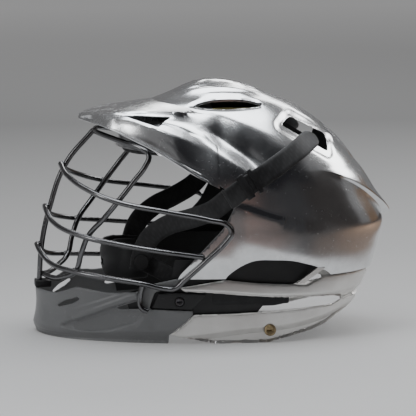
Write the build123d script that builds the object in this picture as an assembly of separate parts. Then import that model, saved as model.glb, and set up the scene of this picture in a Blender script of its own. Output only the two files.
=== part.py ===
from build123d import *
import math
import os

os.makedirs("parts", exist_ok=True)

# Lacrosse helmet with a wire face mask. Millimetres, +Z up, front towards -X,
# symmetric about Y = 0, origin at the bottom centre of the bounding box.

# Crown shell
dome_height = 226.0
rear_reach = 161.0
front_reach = 97.0
half_width = 102.0
widest_x = 15.0
shell_wall = 3.0
crown_edge_z = 61.5
egg_power = 2.3
brow_z = 176.0
temple_x = 10.0
temple_z = 129.0
cheek_front_x = -43.0
opening_corner_r = 5.0
ear_arch_front_x = -1.0
ear_arch_rear_x = 104.0
ear_arch_height = 18.0

# Centre ridge, spoiler lip and rear spine slots
ridge_top_z = 237.0
ridge_half_width = 31.0
ridge_half_height = 14.0
spoiler_lip_z = 107.0
spoiler_rise_share = 0.62
spoiler_half_width = 84.0
spoiler_reach = 12.0
spoiler_tip_x = 170.0
spine_slot_width = 6.0
spine_slot_y = 15.0

# Vents in the crown
top_vent_length = 66.0
top_vent_width = 15.0
top_vent_x = 10.0
top_vent_y = 44.0
rear_vent_front_x = 57.0
rear_vent_rear_x = 102.0
rear_vent_low_z = 173.0
rear_vent_top_z = 206.0
rear_vent_inner_y = 20.0
vent_corner_r = 3.0

# Visor
visor_tip_x = -125.6
visor_half_width = 90.0
visor_wall = 3.0
visor_vent_x = -69.0
visor_vent_z = 205.5
visor_vent_length = 38.0
visor_vent_height = 8.0
visor_vent_corner_r = 1.0

# Jaw: the lower shell and the chin guard share one outside
jaw_top_z = 61.0
jaw_half_width = 97.0
jaw_front_reach = 170.0
jaw_rear_reach = 150.0
jaw_wall = 3.0
jaw_front_power = 2.0
joint_gap = 0.4
rest_front_x = -8.0
rest_rear_x = 42.0
rear_window_half_width = 34.0
rear_window_height = 11.0

# Chin guard
chin_top_front_z = 42.0
chin_top_side_z = 50.0
chin_rib_width = 5.0
chin_rib_height = 1.6
chin_recess_depth = 1.0
chin_recess_corner_r = 2.0
chin_slot_height = 5.0
chin_slot_inner_y = 6.0

# Face mask
wire_diameter = 5.0
weld_bite = 0.4
mask_reach = 166.0
mask_half_width = 105.6
mask_top_z = 158.0
face_axis_x = -40.0
bar_top_inset = 13.5
turn_per_span = 13.0
longest_span = 40.0
mount_inset = 0.6
clip_half_width = 9.0
clip_height = 6.5
clip_edge_r = 1.5

# Screws
screw_shank_r = 2.4
screw_clearance = 0.1
brass_head_r = 5.5
brass_head_height = 2.2
jaw_screw_x = 43.5
jaw_screw_z = 12.0
nut_r = 5.0
nut_height = 4.0
mask_screw_x = -40.5
mask_screw_z = 40.0
mask_screw_head_r = 4.2
mask_screw_length = 9.0
screw_tail = 3.0
visor_screw_x = -112.0
visor_screw_head_r = 4.0
visor_screw_head_height = 2.0

# Straps
strap_width = 19.0
strap_thickness = 1.6
strap_lift = 1.8
lower_strap_width = 16.0
wrap_clearance = 0.8
keeper_wall = 2.0
keeper_length = 7.0
slider_length = 4.0
slider_wall = 2.2
slider_clearance = 0.4
soft_gap = 0.35

# Chin cup
cup_front_x = -106.0
cup_rear_x = -62.0
cup_half_width = 47.0
cup_low_z = 50.0
cup_top_z = 88.0
cup_wall = 3.0
cup_pad_thickness = 6.0
cup_boss_rise = 3.2
snap_x = -72.0
snap_z = 72.0
snap_shank_r = 3.0
snap_head_r = 7.0
snap_head_height = 2.0
running_clearance = 0.08

# Liner
pad_thickness = 11.0
foam_thickness = 9.0
liner_gap = 0.4
seat_gap = 0.9
brow_pad_drop = 6.0
brow_pad_rise = 20.0
side_pad_setback = 12.0

# Rear fit system
dial_x = 136.0
dial_z = 82.0
dial_r = 15.0
dial_thickness = 7.0
dial_shaft_r = 3.0
dial_shaft_reach = 7.0
dial_base_r = 11.0
dial_grips = 10
dial_grip_r = 2.2
cradle_rear_x = 118.0
cradle_bend_r = 78.0
cradle_half_width = 50.0
cradle_low_z = 64.0
cradle_height = 34.0
cradle_wall = 3.0
cradle_pad_thickness = 9.0
cradle_window_corner_r = 2.0
guide_y = 32.0
guide_rod_r = 2.5
guide_setback = 8.0
guide_rod_reach = 16.0
guide_travel = 4.0
guide_block = 9.0

overrun = 20.0
short_overrun = 1.0

# height, rear, front and width of each level, as shares of the crown's sizes
dome_shares = [
    (0.177, 0.895, 1.780, 0.922), (0.272, 0.938, 1.550, 0.951), (0.376, 0.975, 1.330, 0.980),
    (0.469, 1.000, 1.180, 1.000),
    (0.580, 0.925, 1.070, 0.990), (0.699, 0.845, 0.990, 0.941), (0.797, 0.742, 0.928, 0.833),
    (0.885, 0.602, 0.825, 0.676), (0.943, 0.478, 0.680, 0.529), (0.978, 0.360, 0.515, 0.402),
    (1.000, 0.217, 0.289, 0.216),
]
# the same for the jaw's outside, as shares of the jaw's sizes
jaw_shares = [
    (0.00, 0.827, 0.980, 0.955), (0.14, 0.850, 1.000, 0.968), (0.32, 0.880, 0.985, 0.982),
    (0.56, 0.917, 0.983, 0.995), (0.80, 0.963, 0.980, 1.000), (1.00, 1.000, 0.975, 0.995),
]
# place along the visor, rim width and height, crease width and height, deck height
visor_station_shares = [
    (1.000, 0.090, 0.888, 0.060, 0.905, 0.909),
    (0.947, 0.311, 0.886, 0.230, 0.911, 0.918),
    (0.836, 0.544, 0.872, 0.380, 0.923, 0.930),
    (0.677, 0.700, 0.834, 0.490, 0.934, 0.943),
    (0.478, 0.840, 0.779, 0.560, 0.938, 0.965),
    (0.279, 0.975, 0.712, 0.635, 0.932, 0.975),
    (0.120, 1.055, 0.665, 0.660, 0.910, 0.975),
    (0.000, 1.060, 0.640, 0.600, 0.880, 0.950),
    (-0.080, 1.020, 0.640, 0.540, 0.850, 0.920),
]
# place, top height and width along the centre ridge, as shares of its sizes
ridge_shares = [
    (-0.41, 0.902, 0.45), (-0.236, 0.952, 0.80), (-0.087, 0.995, 1.00), (0.031, 1.000, 1.00),
    (0.149, 0.986, 1.00), (0.286, 0.952, 0.84), (0.447, 0.895, 0.50),
]
# height and reach of the spoiler lip, as shares of the dome's height and the lip's reach
lip_shares = [(0.44, 1.0), (0.50, 0.80), (0.58, 0.50), (0.66, 0.25), (0.74, -0.25)]
# place and height along the ear arch, as shares of its length and height
ear_arch_shares = [(0.13, 0.667), (0.27, 1.0), (0.60, 0.917), (0.84, 0.5)]
# places along the outer strap where it lies straight, and where it lies on the crown
straight_shares = (0.09, 0.37)
tail_shares = (0.50, 0.66, 0.83, 1.0)


def keep(name, shape):
    """Write one piece's solids to its own file."""
    solids = sorted(shape.solids(), key=lambda solid: -solid.volume)
    solids = [solid for solid in solids if solid.volume > 1e-3 * solids[0].volume]
    piece = solids[0] if len(solids) == 1 else Compound(solids)
    export_step(piece, f"parts/{name}.step")


def lerp(low, high, share):
    return low + (high - low) * share


def egg_outline(z, rear, front, width, front_power):
    """A closed horizontal egg at one height, rounder or more pointed in front."""
    points = []
    for index in range(16):
        angle = math.tau * index / 16
        c, s = math.cos(angle), math.sin(angle)
        reach, power = (rear - widest_x, egg_power) if c >= 0 else (front + widest_x, front_power)
        x = widest_x + math.copysign(abs(c) ** (2 / power), c) * reach
        y = math.copysign(abs(s) ** (2 / power), s) * width
        points.append((x, y, z))
    return Wire([Spline(points, periodic=True)])


def egg_loft(levels, front_power):
    return Solid.make_loft([egg_outline(*level, front_power) for level in levels])


def inset_levels(levels, inset, drop=0.0):
    """Levels moved in from the outside, and down near the top."""
    top = levels[-1][0]
    return [(z - drop * (z / top) ** 4, rear - inset, front - inset, width - inset)
            for z, rear, front, width in levels]


def dome_levels():
    return [(h * dome_height, r * rear_reach, f * front_reach, w * half_width) for h, r, f, w in dome_shares]


def jaw_levels():
    return [(h * jaw_top_z, r * jaw_rear_reach, f * jaw_front_reach, w * jaw_half_width)
            for h, r, f, w in jaw_shares]


def stretched(levels, below, above=0.0):
    """The same outlines with the lowest and highest level moved further out."""
    low, high = levels[0], levels[-1]
    return [(low[0] - below, *low[1:]), *levels[1:-1], (high[0] + above, *high[1:])]


def past_ends(levels):
    """The same outlines, reaching just past the lowest and highest level."""
    return stretched(levels, short_overrun, short_overrun)


def level_at(levels, z):
    """The outline sizes at any height between two levels."""
    for low, high in zip(levels, levels[1:]):
        if low[0] <= z <= high[0]:
            share = (z - low[0]) / (high[0] - low[0])
            return tuple(lerp(a, b, share) for a, b in zip(low, high))
    return levels[0] if z < levels[0][0] else levels[-1]


def band_levels(levels, low_z, high_z):
    """The outlines from one height to another, with new first and last ones."""
    between = [level for level in levels if low_z < level[0] < high_z]
    return [level_at(levels, low_z), *between, level_at(levels, high_z)]


def side_y(levels, x, z, front_power, inset=0.0):
    """Half width of an egg-shaped wall at a place."""
    _, rear, front, width = level_at(levels, z)
    reach, power = (rear - widest_x, egg_power) if x >= widest_x else (front + widest_x, front_power)
    along = min(abs(x - widest_x) / (reach - inset), 1.0)
    return (width - inset) * (1 - along ** power) ** (1 / power)


def crown_y(x, z, inset=0.0):
    return side_y(dome_levels(), x, z, egg_power, inset)


def jaw_y(x, z, inset=0.0):
    return side_y(jaw_levels(), x, z, jaw_front_power, inset)


def crown_normal(x, z):
    """Outward direction of the crown's right side at a place."""
    step = shell_wall / 2
    slope_x = (crown_y(x + step, z) - crown_y(x - step, z)) / (2 * step)
    slope_z = (crown_y(x, z + step) - crown_y(x, z - step)) / (2 * step)
    return Vector(-slope_x, 1, -slope_z).normalized()


def closed_face(corners, radius=0.0):
    """A flat face with straight edges, and rounded corners where a radius is given."""
    if radius:
        return Face(FilletPolyline(corners, radius=radius, close=True).wire())
    return Face(Polyline(corners, close=True).wire())


def side_prism(points, far_y, near_y=None, radius=0.0):
    """An XZ outline drawn out along Y, through both sides or over one range of Y."""
    start = -far_y if near_y is None else near_y
    corners = [(x, start, z) for x, z in points]
    return Solid.extrude(closed_face(corners, radius), Vector(0, far_y - start, 0))


def box(low, high):
    size = [b - a for a, b in zip(low, high)]
    middle = [(a + b) / 2 for a, b in zip(low, high)]
    return Solid.make_box(*size).moved(Location(tuple(m - s / 2 for m, s in zip(middle, size))))


def rod(start, end, radius):
    start, end = Vector(*start), Vector(*end)
    axis = end - start
    return Solid.make_cylinder(radius, axis.length, Plane(origin=start, z_dir=axis.normalized()))


def mirrored(shape):
    return shape.mirror(Plane.XZ)


def both_sides(shape):
    return Compound([*shape.solids(), *mirrored(shape).solids()])


# Crown shell

def ridge_solid():
    length = rear_reach
    outlines = []
    for place, top, width in ridge_shares:
        height = ridge_half_height * width
        centre = (place * length, 0, ridge_top_z * top - height)
        plane = Plane(origin=centre, x_dir=(0, 1, 0), z_dir=(1, 0, 0))
        with BuildSketch(plane) as sketch:
            Ellipse(ridge_half_width * width, height)
        outlines.append(sketch.sketch.faces()[0].outer_wire())
    return Solid.make_loft(outlines)


def spoiler_solid():
    """A lip that stands off the back of the dome above a V-shaped edge."""
    levels = dome_levels()
    lips = []
    for height, reach in lip_shares:
        z, rear, front, width = level_at(levels, height * dome_height)
        lips.append((z, rear + spoiler_reach * reach, front - spoiler_reach, width - spoiler_reach * 0.1))
    rise = spoiler_rise_share * spoiler_half_width
    start_x = rear_reach / 2
    outline = closed_face([
        (start_x, 0, spoiler_lip_z), (start_x, spoiler_half_width, spoiler_lip_z + rise),
        (start_x, spoiler_half_width, dome_height), (start_x, -spoiler_half_width, dome_height),
        (start_x, -spoiler_half_width, spoiler_lip_z + rise)])
    edge = Solid.extrude(outline, Vector(rear_reach, 0, 0))
    beyond = box((spoiler_tip_x, -half_width, 0), (2 * spoiler_tip_x, half_width, dome_height))
    return (egg_loft(lips, egg_power) & edge) - beyond


def lens_prism(x, y, length, width, low_z, high_z):
    """A pointed oval, cut straight down."""
    bulge = width / 2
    outline = Wire([
        ThreePointArc((x - length / 2, y, low_z), (x, y + bulge, low_z), (x + length / 2, y, low_z)),
        ThreePointArc((x + length / 2, y, low_z), (x, y - bulge, low_z), (x - length / 2, y, low_z)),
    ])
    return Solid.extrude(Face(outline), Vector(0, 0, high_z - low_z))


def face_opening():
    edge_z = crown_edge_z
    front_x = -2 * front_reach
    run, rise, drop = temple_x - cheek_front_x, brow_z - temple_z, temple_z - edge_z
    points = [
        (front_x, brow_z), (cheek_front_x - overrun, brow_z),
        (temple_x - 0.79 * run, temple_z + 0.745 * rise),
        (temple_x - 0.17 * run, temple_z + 0.34 * rise), (temple_x, temple_z),
        (temple_x - 0.19 * run, temple_z - 0.296 * drop), (cheek_front_x, edge_z + 0.022 * drop),
        (cheek_front_x, edge_z - overrun), (front_x, edge_z - overrun),
    ]
    return side_prism(points, 2 * half_width, radius=opening_corner_r)


def ear_arch():
    edge_z = crown_edge_z
    low_z = edge_z - overrun
    front_x, rear_x = ear_arch_front_x, ear_arch_rear_x
    arch = []
    for place, height in ear_arch_shares:
        arch.append((lerp(front_x, rear_x, place), edge_z + height * ear_arch_height))
    points = [(front_x, low_z), (front_x, edge_z), *arch, (rear_x, edge_z), (rear_x, low_z)]
    return side_prism(points, 2 * half_width, radius=opening_corner_r)


def rear_vent():
    length = rear_vent_rear_x - rear_vent_front_x
    height = rear_vent_top_z - rear_vent_low_z
    points = [
        (rear_vent_front_x, rear_vent_low_z + 0.80 * height),
        (rear_vent_front_x + 0.22 * length, rear_vent_top_z),
        (rear_vent_rear_x, rear_vent_low_z + 0.45 * height), (rear_vent_rear_x, rear_vent_low_z),
        (rear_vent_front_x + 0.38 * length, rear_vent_low_z + 0.50 * height),
    ]
    return side_prism(points, half_width, near_y=rear_vent_inner_y, radius=vent_corner_r)


def spine_slot():
    points = [(0.64 * rear_reach, 0.905 * dome_height), (0.93 * rear_reach, 0.68 * dome_height),
              (0.84 * rear_reach, 0.63 * dome_height), (0.55 * rear_reach, 0.855 * dome_height)]
    low_y = spine_slot_y - spine_slot_width / 2
    return side_prism(points, low_y + spine_slot_width, near_y=low_y)


def crown_outside():
    return egg_loft(dome_levels(), egg_power) + ridge_solid() + spoiler_solid()


outside = crown_outside()
inside_levels = inset_levels(dome_levels(), shell_wall, shell_wall)
dome_inner = egg_loft(inside_levels, egg_power)
crown_cuts = [box((-2 * rear_reach, -2 * half_width, 0), (2 * rear_reach, 2 * half_width, crown_edge_z)),
              face_opening(), ear_arch()]
for cut in (lens_prism(top_vent_x, top_vent_y, top_vent_length, top_vent_width, brow_z, ridge_top_z),
            rear_vent(), spine_slot()):
    crown_cuts += [cut, mirrored(cut)]
keep("crown_shell", outside.cut(dome_inner, *crown_cuts))


# Visor

def visor_stations(inset, floor_drop):
    """Arches across the visor, closed below by a line from rim to rim."""
    outlines = []
    for place, rim_y, rim_z, crease_y, crease_z, deck_z in visor_station_shares:
        x = place * visor_tip_x + inset
        rim = (visor_half_width * rim_y - inset, dome_height * rim_z - floor_drop)
        crease = (visor_half_width * crease_y - inset * 0.7, dome_height * crease_z - inset)
        deck = dome_height * deck_z - inset
        side = [(x, rim[0], rim[1]), (x, crease[0], crease[1])]
        points = [*side, (x, 0, deck), *[(x, -y, z) for x, y, z in reversed(side)]]
        outlines.append(Wire([Spline(points), Line(points[-1], points[0])]))
    return outlines


def visor_piece():
    bill = Solid.make_loft(visor_stations(0, 0)) - Solid.make_loft(visor_stations(visor_wall, 2 * visor_wall))
    seat = egg_loft(stretched(inset_levels(dome_levels(), -joint_gap, -joint_gap), overrun), egg_power)
    bill = bill.cut(seat, outside)
    half_length, half_height = visor_vent_length / 2, visor_vent_height / 2
    corners = [(visor_vent_x - half_length, visor_vent_z + half_height),
               (visor_vent_x + half_length, visor_vent_z + half_height * 0.8),
               (visor_vent_x + half_length * 0.4, visor_vent_z - half_height)]
    vent = side_prism(corners, half_width, near_y=visor_half_width * 0.3, radius=visor_vent_corner_r)
    hole = rod((visor_screw_x, 0, brow_z), (visor_screw_x, 0, ridge_top_z), screw_shank_r + screw_clearance)
    return bill.cut(vent, mirrored(vent), hole)


keep("visor", visor_piece())


# Jaw: one wall, cut into the lower shell and the chin guard

jaw_outer = egg_loft(jaw_levels(), jaw_front_power)
jaw_inner = egg_loft(past_ends(inset_levels(jaw_levels(), jaw_wall)), jaw_front_power)
jaw_wall_solid = jaw_outer - jaw_inner
far = 2 * half_width


def jaw_bottom_cut():
    """Below the jaw band: flat where it rests, rising to the back and the spear."""
    reach, top = jaw_rear_reach, jaw_top_z
    points = [
        (-0.33 * reach, 0.131 * top), (-0.14 * reach, 0.041 * top), (rest_front_x, 0), (rest_rear_x, 0),
        (0.43 * reach, 0.082 * top), (0.57 * reach, 0.156 * top), (0.67 * reach, 0.238 * top),
        (0.74 * reach, 0.344 * top), (0.85 * reach, 0.459 * top), (0.92 * reach, 0.533 * top),
        (1.2 * reach, 0.590 * top), (1.2 * reach, -overrun), (-0.33 * reach, -overrun),
    ]
    return side_prism(points, far)


def split_line(shift=0.0):
    """The stepped joint between the chin guard and the jaw bands, from below."""
    reach, top = jaw_rear_reach, jaw_top_z
    points = [
        (-0.33 * reach, -overrun), (-0.33 * reach, 0.13 * top), (-0.23 * reach, 0.33 * top),
        (-0.185 * reach, 0.45 * top), (-0.185 * reach, 0.68 * top), (-0.27 * reach, 0.86 * top),
        (-0.24 * reach, 1.3 * top),
    ]
    return [(x + shift, z) for x, z in points]


def band_slot():
    """The long slot between the jaw band and the mid strip."""
    points = [
        (-0.45 * jaw_rear_reach, 0.44 * jaw_top_z), (-0.18 * jaw_rear_reach, 0.455 * jaw_top_z),
        (0.09 * jaw_rear_reach, 0.47 * jaw_top_z), (0.43 * jaw_rear_reach, 0.51 * jaw_top_z),
        (0.70 * jaw_rear_reach, 0.53 * jaw_top_z), (0.78 * jaw_rear_reach, 0.60 * jaw_top_z),
        (0.70 * jaw_rear_reach, 0.655 * jaw_top_z), (0.32 * jaw_rear_reach, 0.70 * jaw_top_z),
        (-0.10 * jaw_rear_reach, 0.79 * jaw_top_z), (-0.45 * jaw_rear_reach, 0.82 * jaw_top_z),
    ]
    return side_prism(points, far)


def strip_top_cut():
    """Above the mid strip: the ear vent's floor, up to the rear panel's strut."""
    points = [
        (-0.40 * jaw_rear_reach, 0.87 * jaw_top_z), (-0.24 * jaw_rear_reach, 0.88 * jaw_top_z),
        (0.01 * jaw_rear_reach, 0.985 * jaw_top_z), (0.20 * jaw_rear_reach, 0.93 * jaw_top_z),
        (0.44 * jaw_rear_reach, 0.89 * jaw_top_z), (0.52 * jaw_rear_reach, 0.87 * jaw_top_z),
        (0.66 * jaw_rear_reach, 1.02 * jaw_top_z), (0.66 * jaw_rear_reach, 1.3 * jaw_top_z),
        (-0.40 * jaw_rear_reach, 1.3 * jaw_top_z),
    ]
    return side_prism(points, far)


def rear_window():
    low_z = jaw_top_z - rear_window_height
    half = rear_window_half_width
    outline = closed_face([
        (0, -half, jaw_top_z + overrun), (0, -half * 1.1, jaw_top_z), (0, -half * 0.7, low_z),
        (0, half * 0.7, low_z), (0, half * 1.1, jaw_top_z), (0, half, jaw_top_z + overrun)])
    return Solid.extrude(outline, Vector(2 * jaw_rear_reach, 0, 0))


def jaw_screw_y():
    return jaw_y(jaw_screw_x, jaw_screw_z)


def lower_shell_piece():
    line = split_line(joint_gap / 2)
    front_x = -2 * jaw_front_reach
    front = side_prism([(front_x, -overrun), *line, (front_x, 1.3 * jaw_top_z)], far)
    hole_r = screw_shank_r + screw_clearance
    hole = rod((jaw_screw_x, -far, jaw_screw_z), (jaw_screw_x, far, jaw_screw_z), hole_r)
    seat = rod((jaw_screw_x, jaw_screw_y() - 0.2 * jaw_wall, jaw_screw_z), (jaw_screw_x, far, jaw_screw_z),
               brass_head_r + 4 * screw_clearance)
    return jaw_wall_solid.cut(front, band_slot(), strip_top_cut(), rear_window(), jaw_bottom_cut(),
                              seat, mirrored(seat), hole)


keep("lower_shell", lower_shell_piece())


# Chin guard

def chin_top_cut():
    reach = jaw_front_reach
    points = [
        (-1.1 * reach, chin_top_front_z), (-0.89 * reach, chin_top_front_z),
        (-0.78 * reach, chin_top_side_z), (-0.62 * reach, 0.93 * chin_top_side_z),
        (-0.47 * reach, 0.96 * chin_top_side_z), (-0.38 * reach, 1.12 * chin_top_side_z),
        (-0.26 * reach, jaw_top_z), (-0.10 * reach, jaw_top_z),
        (-0.10 * reach, 1.3 * jaw_top_z), (-1.1 * reach, 1.3 * jaw_top_z),
    ]
    return side_prism(points, far)


def chin_window():
    """The opening behind the side plate, under the rail that runs up to the mid strip."""
    reach = jaw_front_reach
    points = [
        (-0.40 * reach, 0.53 * jaw_top_z), (-0.10 * reach, 0.51 * jaw_top_z),
        (-0.10 * reach, 0.85 * jaw_top_z),
        (-0.28 * reach, 0.87 * jaw_top_z), (-0.37 * reach, 0.79 * jaw_top_z),
    ]
    return side_prism(points, far)


def chin_openings():
    reach = jaw_front_reach
    rear_slot = side_prism([(-0.62 * reach, 0.50 * jaw_top_z), (-0.45 * reach, 0.66 * jaw_top_z),
                            (-0.43 * reach, 0.54 * jaw_top_z)], far)
    front_slot = side_prism([
        (-0.915 * reach, 0.43 * jaw_top_z), (-0.835 * reach, 0.55 * jaw_top_z + chin_slot_height / 2),
        (-0.72 * reach, 0.72 * jaw_top_z), (-0.80 * reach, 0.60 * jaw_top_z - chin_slot_height / 2)],
        far, near_y=chin_slot_inner_y)
    return [rear_slot, front_slot, mirrored(front_slot)]


def chin_rib():
    """The raised rib that runs up and back across each side."""
    raised = egg_loft(inset_levels(jaw_levels(), -chin_rib_height), jaw_front_power)
    core = egg_loft(past_ends(inset_levels(jaw_levels(), jaw_wall / 2)), jaw_front_power)
    reach = jaw_front_reach
    rib = side_prism([
        (-0.81 * reach, 0.35 * jaw_top_z), (-0.47 * reach, 0.77 * jaw_top_z),
        (-0.45 * reach, 0.77 * jaw_top_z - chin_rib_width),
        (-0.79 * reach, 0.35 * jaw_top_z - chin_rib_width)], far)
    return (raised - core) & rib


def chin_recess():
    reach = jaw_front_reach
    core = egg_loft(past_ends(inset_levels(jaw_levels(), chin_recess_depth)), jaw_front_power)
    swept = side_prism([
        (-0.85 * reach, 0.19 * jaw_top_z), (-0.62 * reach, 0.42 * jaw_top_z),
        (-0.42 * reach, 0.43 * jaw_top_z),
        (-0.47 * reach, 0.24 * jaw_top_z), (-0.62 * reach, 0.14 * jaw_top_z)],
        far, radius=chin_recess_corner_r)
    return swept - core


def chin_guard_piece():
    line = split_line(-joint_gap / 2)
    behind = side_prism([*line, (2 * jaw_rear_reach, 1.3 * jaw_top_z), (2 * jaw_rear_reach, -overrun)], far)
    guard = jaw_wall_solid.cut(behind, chin_recess()) + chin_rib()
    return guard.cut(chin_top_cut(), chin_window(), *chin_openings())


keep("chin_guard", chin_guard_piece())


# Face mask: round wire, welded where it crosses

wire_r = wire_diameter / 2


def toward_face(point):
    """The same place, one wire further in, where a wire is welded behind another."""
    x, y, z = point
    inward = Vector(face_axis_x - x, -y, 0).normalized() * (wire_diameter - weld_bite)
    return (x + inward.X, y + inward.Y, z)


def bent_wire(points, tangents=None):
    """Round wire along a smooth line, as a loft through circles that turn a little each."""
    line = Spline(points, tangents=tangents)
    count = 400
    samples = [(line.position_at(i / count), line.tangent_at(i / count)) for i in range(count + 1)]
    stations = [samples[0]]
    for here, after in zip(samples[1:], samples[2:]):
        turn = stations[-1][1].get_angle(after[1])
        if turn > turn_per_span or (here[0] - stations[-1][0]).length > longest_span:
            stations.append(here)
    stations.append(samples[-1])
    circles = []
    side_way = Vector(1, 0, 0) if abs(stations[0][1].X) < 0.7 else Vector(0, 0, 1)
    for place, along in stations:
        side_way = (side_way - along * side_way.dot(along)).normalized()
        circles.append(Wire([Edge.make_circle(wire_r, Plane(origin=place, x_dir=side_way, z_dir=along))]))
    return Solid.make_loft(circles, True)


# places along the right half of each wire, from the middle outwards, as shares of the mask's
# reach, half width and top height
rim_top_shares = [
    (-0.8614, 0.0000, 1.0000), (-0.8343, 0.2936, 0.9525), (-0.7349, 0.5540, 0.8892),
    (-0.5904, 0.7339, 0.8354), (-0.3012, 0.9044, 0.7816), (-0.0843, 0.9830, 0.7405),
    (0.0151, 0.9972, 0.7089), (0.0361, 1.0000, 0.6646),
]
rim_side_shares = [
    (0.0120, 0.9972, 0.6203), (-0.0964, 0.9735, 0.5063), (-0.2229, 0.9309, 0.3829),
    (-0.2741, 0.9138, 0.3354), (-0.3193, 0.8930, 0.3329),
]
rim_low_shares = [
    (-0.4518, 0.8390, 0.3608), (-0.6386, 0.7150, 0.3829), (-0.8253, 0.5161, 0.4082),
    (-0.9277, 0.3314, 0.4335), (-0.9819, 0.1610, 0.4842), (-1.0000, 0.0000, 0.5190),
]
middle_bar_shares = [
    (-0.9518, 0.0000, 0.7468), (-0.9127, 0.3030, 0.6741), (-0.7590, 0.5871, 0.6171),
    (-0.5723, 0.7576, 0.5854), (-0.3313, 0.8996, 0.5506), (-0.1175, 0.9659, 0.5222),
]
loop_top_shares = [
    (-0.6386, 0.2652, 1.1930), (-0.5301, 0.5208, 1.1646), (-0.4458, 0.6439, 1.1392),
    (-0.4036, 0.6913, 1.1013), (-0.4247, 0.7102, 1.0380), (-0.4849, 0.7102, 0.9557),
]
loop_side_shares = [
    (-0.6536, 0.6487, 0.7278), (-0.7741, 0.5350, 0.5127),
]
loop_low_shares = [
    (-0.8614, 0.3598, 0.3576), (-0.9247, 0.1610, 0.3354),
]
hook_shares = [
    (-0.4651, 0.8343, 0.2722), (-0.4548, 0.8419, 0.2184), (-0.4187, 0.8580, 0.1962),
]


def on_mask(shares):
    """Places from their shares of the mask's sizes."""
    return [(x * mask_reach, y * mask_half_width, z * mask_top_z) for x, y, z in shares]


rim_top = on_mask(rim_top_shares)
rim_low = on_mask(rim_low_shares)
middle_bar = on_mask(middle_bar_shares)
brow_middle, brow_crossing = rim_top[0], rim_top[3]
chin_middle, chin_crossing = rim_low[-1], rim_low[2]
bar_middle, middle_crossing = middle_bar[0], middle_bar[2]


def across(point):
    return (point[0], -point[1], point[2])


def rim_half():
    ends = [Vector(0, 1, 0), Vector(0, -1, 0)]
    return bent_wire([*rim_top, *on_mask(rim_side_shares), *rim_low], tangents=ends)


right_rim = rim_half()
keep("mask_rim", right_rim + mirrored(right_rim))
keep("mask_middle_bar", bent_wire([*[across(p) for p in reversed(middle_bar)], *middle_bar[1:]]))
bar_top = (visor_tip_x + bar_top_inset, 0, 0.84 * dome_height)
bar_foot = (-0.988 * mask_reach, 0, chin_top_front_z + 0.615 * clip_height)
centre_line = [bar_top, toward_face(brow_middle), toward_face(bar_middle), toward_face(chin_middle), bar_foot]
keep("mask_centre_bar", bent_wire(centre_line))
beside_bar = wire_r - weld_bite / 2
loop_middle = on_mask(loop_side_shares)
loop_points = [
    (bar_top[0] + 0.12 * wire_diameter, beside_bar, bar_top[2] - 0.2 * wire_diameter),
    *on_mask(loop_top_shares), toward_face(brow_crossing), loop_middle[0], toward_face(middle_crossing),
    loop_middle[1], toward_face(chin_crossing), *on_mask(loop_low_shares),
    (-0.961 * mask_reach, beside_bar, 0.342 * mask_top_z),
]
eye_loop = bent_wire(loop_points)
keep("mask_eye_loop_right", eye_loop)
keep("mask_eye_loop_left", mirrored(eye_loop))
hook_x, hook_y, hook_z = rim_low[0]
hook = bent_wire([(hook_x, hook_y, hook_z - wire_r + weld_bite / 2), *on_mask(hook_shares)])
keep("mask_hook_right", hook)
keep("mask_hook_left", mirrored(hook))


# Mask mounts, clip and screws

mask_screw_seat = jaw_y(mask_screw_x, mask_screw_z) - mount_inset - 0.3 * jaw_wall


def mount_plate():
    """A black plate in the chin guard's side window, level with its wall."""
    reach = jaw_front_reach
    core = egg_loft(past_ends(inset_levels(jaw_levels(), jaw_wall + mount_inset)), jaw_front_power)
    outer = egg_loft(inset_levels(jaw_levels(), mount_inset), jaw_front_power)
    plate = side_prism([
        (-0.385 * reach, 0.55 * jaw_top_z), (-0.175 * reach, 0.53 * jaw_top_z),
        (-0.095 * reach, 0.765 * jaw_top_z), (-0.25 * reach, 0.79 * jaw_top_z),
        (-0.35 * reach, 0.77 * jaw_top_z)], half_width, near_y=half_width / 2)
    hole_r = screw_shank_r + screw_clearance
    hole = rod((mask_screw_x, 0, mask_screw_z), (mask_screw_x, far, mask_screw_z), hole_r)
    seat = rod((mask_screw_x, mask_screw_seat, mask_screw_z), (mask_screw_x, far, mask_screw_z),
               mask_screw_head_r + 2 * screw_clearance)
    return (plate & outer).cut(core, hole, seat)


plate = mount_plate()
keep("mask_mount_right", plate)
keep("mask_mount_left", mirrored(plate))


def screw(x, z, wall_y, head_r, head_height, length, slot=True):
    """A round-headed screw along Y with its head's underside on a wall."""
    head = rod((x, wall_y, z), (x, wall_y + head_height, z), head_r)
    head = fillet(head.edges().group_by(Axis.Y)[-1], head_height * 0.6)
    shank = rod((x, wall_y - length, z), (x, wall_y, z), screw_shank_r)
    drive = box((x - head_r * 0.6, wall_y + head_height * 0.5, z - head_r * 0.12),
                (x + head_r * 0.6, wall_y + 2 * head_height, z + head_r * 0.12))
    return (head + shank) - drive


mask_screw = screw(mask_screw_x, mask_screw_z, mask_screw_seat + screw_clearance, mask_screw_head_r,
                   brass_head_height, mask_screw_length)
keep("mask_screws", both_sides(mask_screw))
jaw_seat = jaw_screw_y() - 0.2 * jaw_wall + screw_clearance
jaw_screw_length = jaw_wall + strap_thickness + nut_height + screw_tail
jaw_screw = screw(jaw_screw_x, jaw_screw_z, jaw_seat, brass_head_r, brass_head_height, jaw_screw_length)
keep("jaw_screws", both_sides(jaw_screw))


def nut_at(x, y_high, z):
    plane = Plane(origin=(x, y_high - nut_height, z), z_dir=(0, 1, 0))
    with BuildSketch(plane) as outline:
        RegularPolygon(nut_r, 6)
    body = Solid.extrude(outline.sketch.faces()[0], Vector(0, nut_height, 0))
    bore_r = screw_shank_r + running_clearance
    return body - rod((x, y_high - 2 * nut_height, z), (x, y_high + nut_height, z), bore_r)


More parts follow.
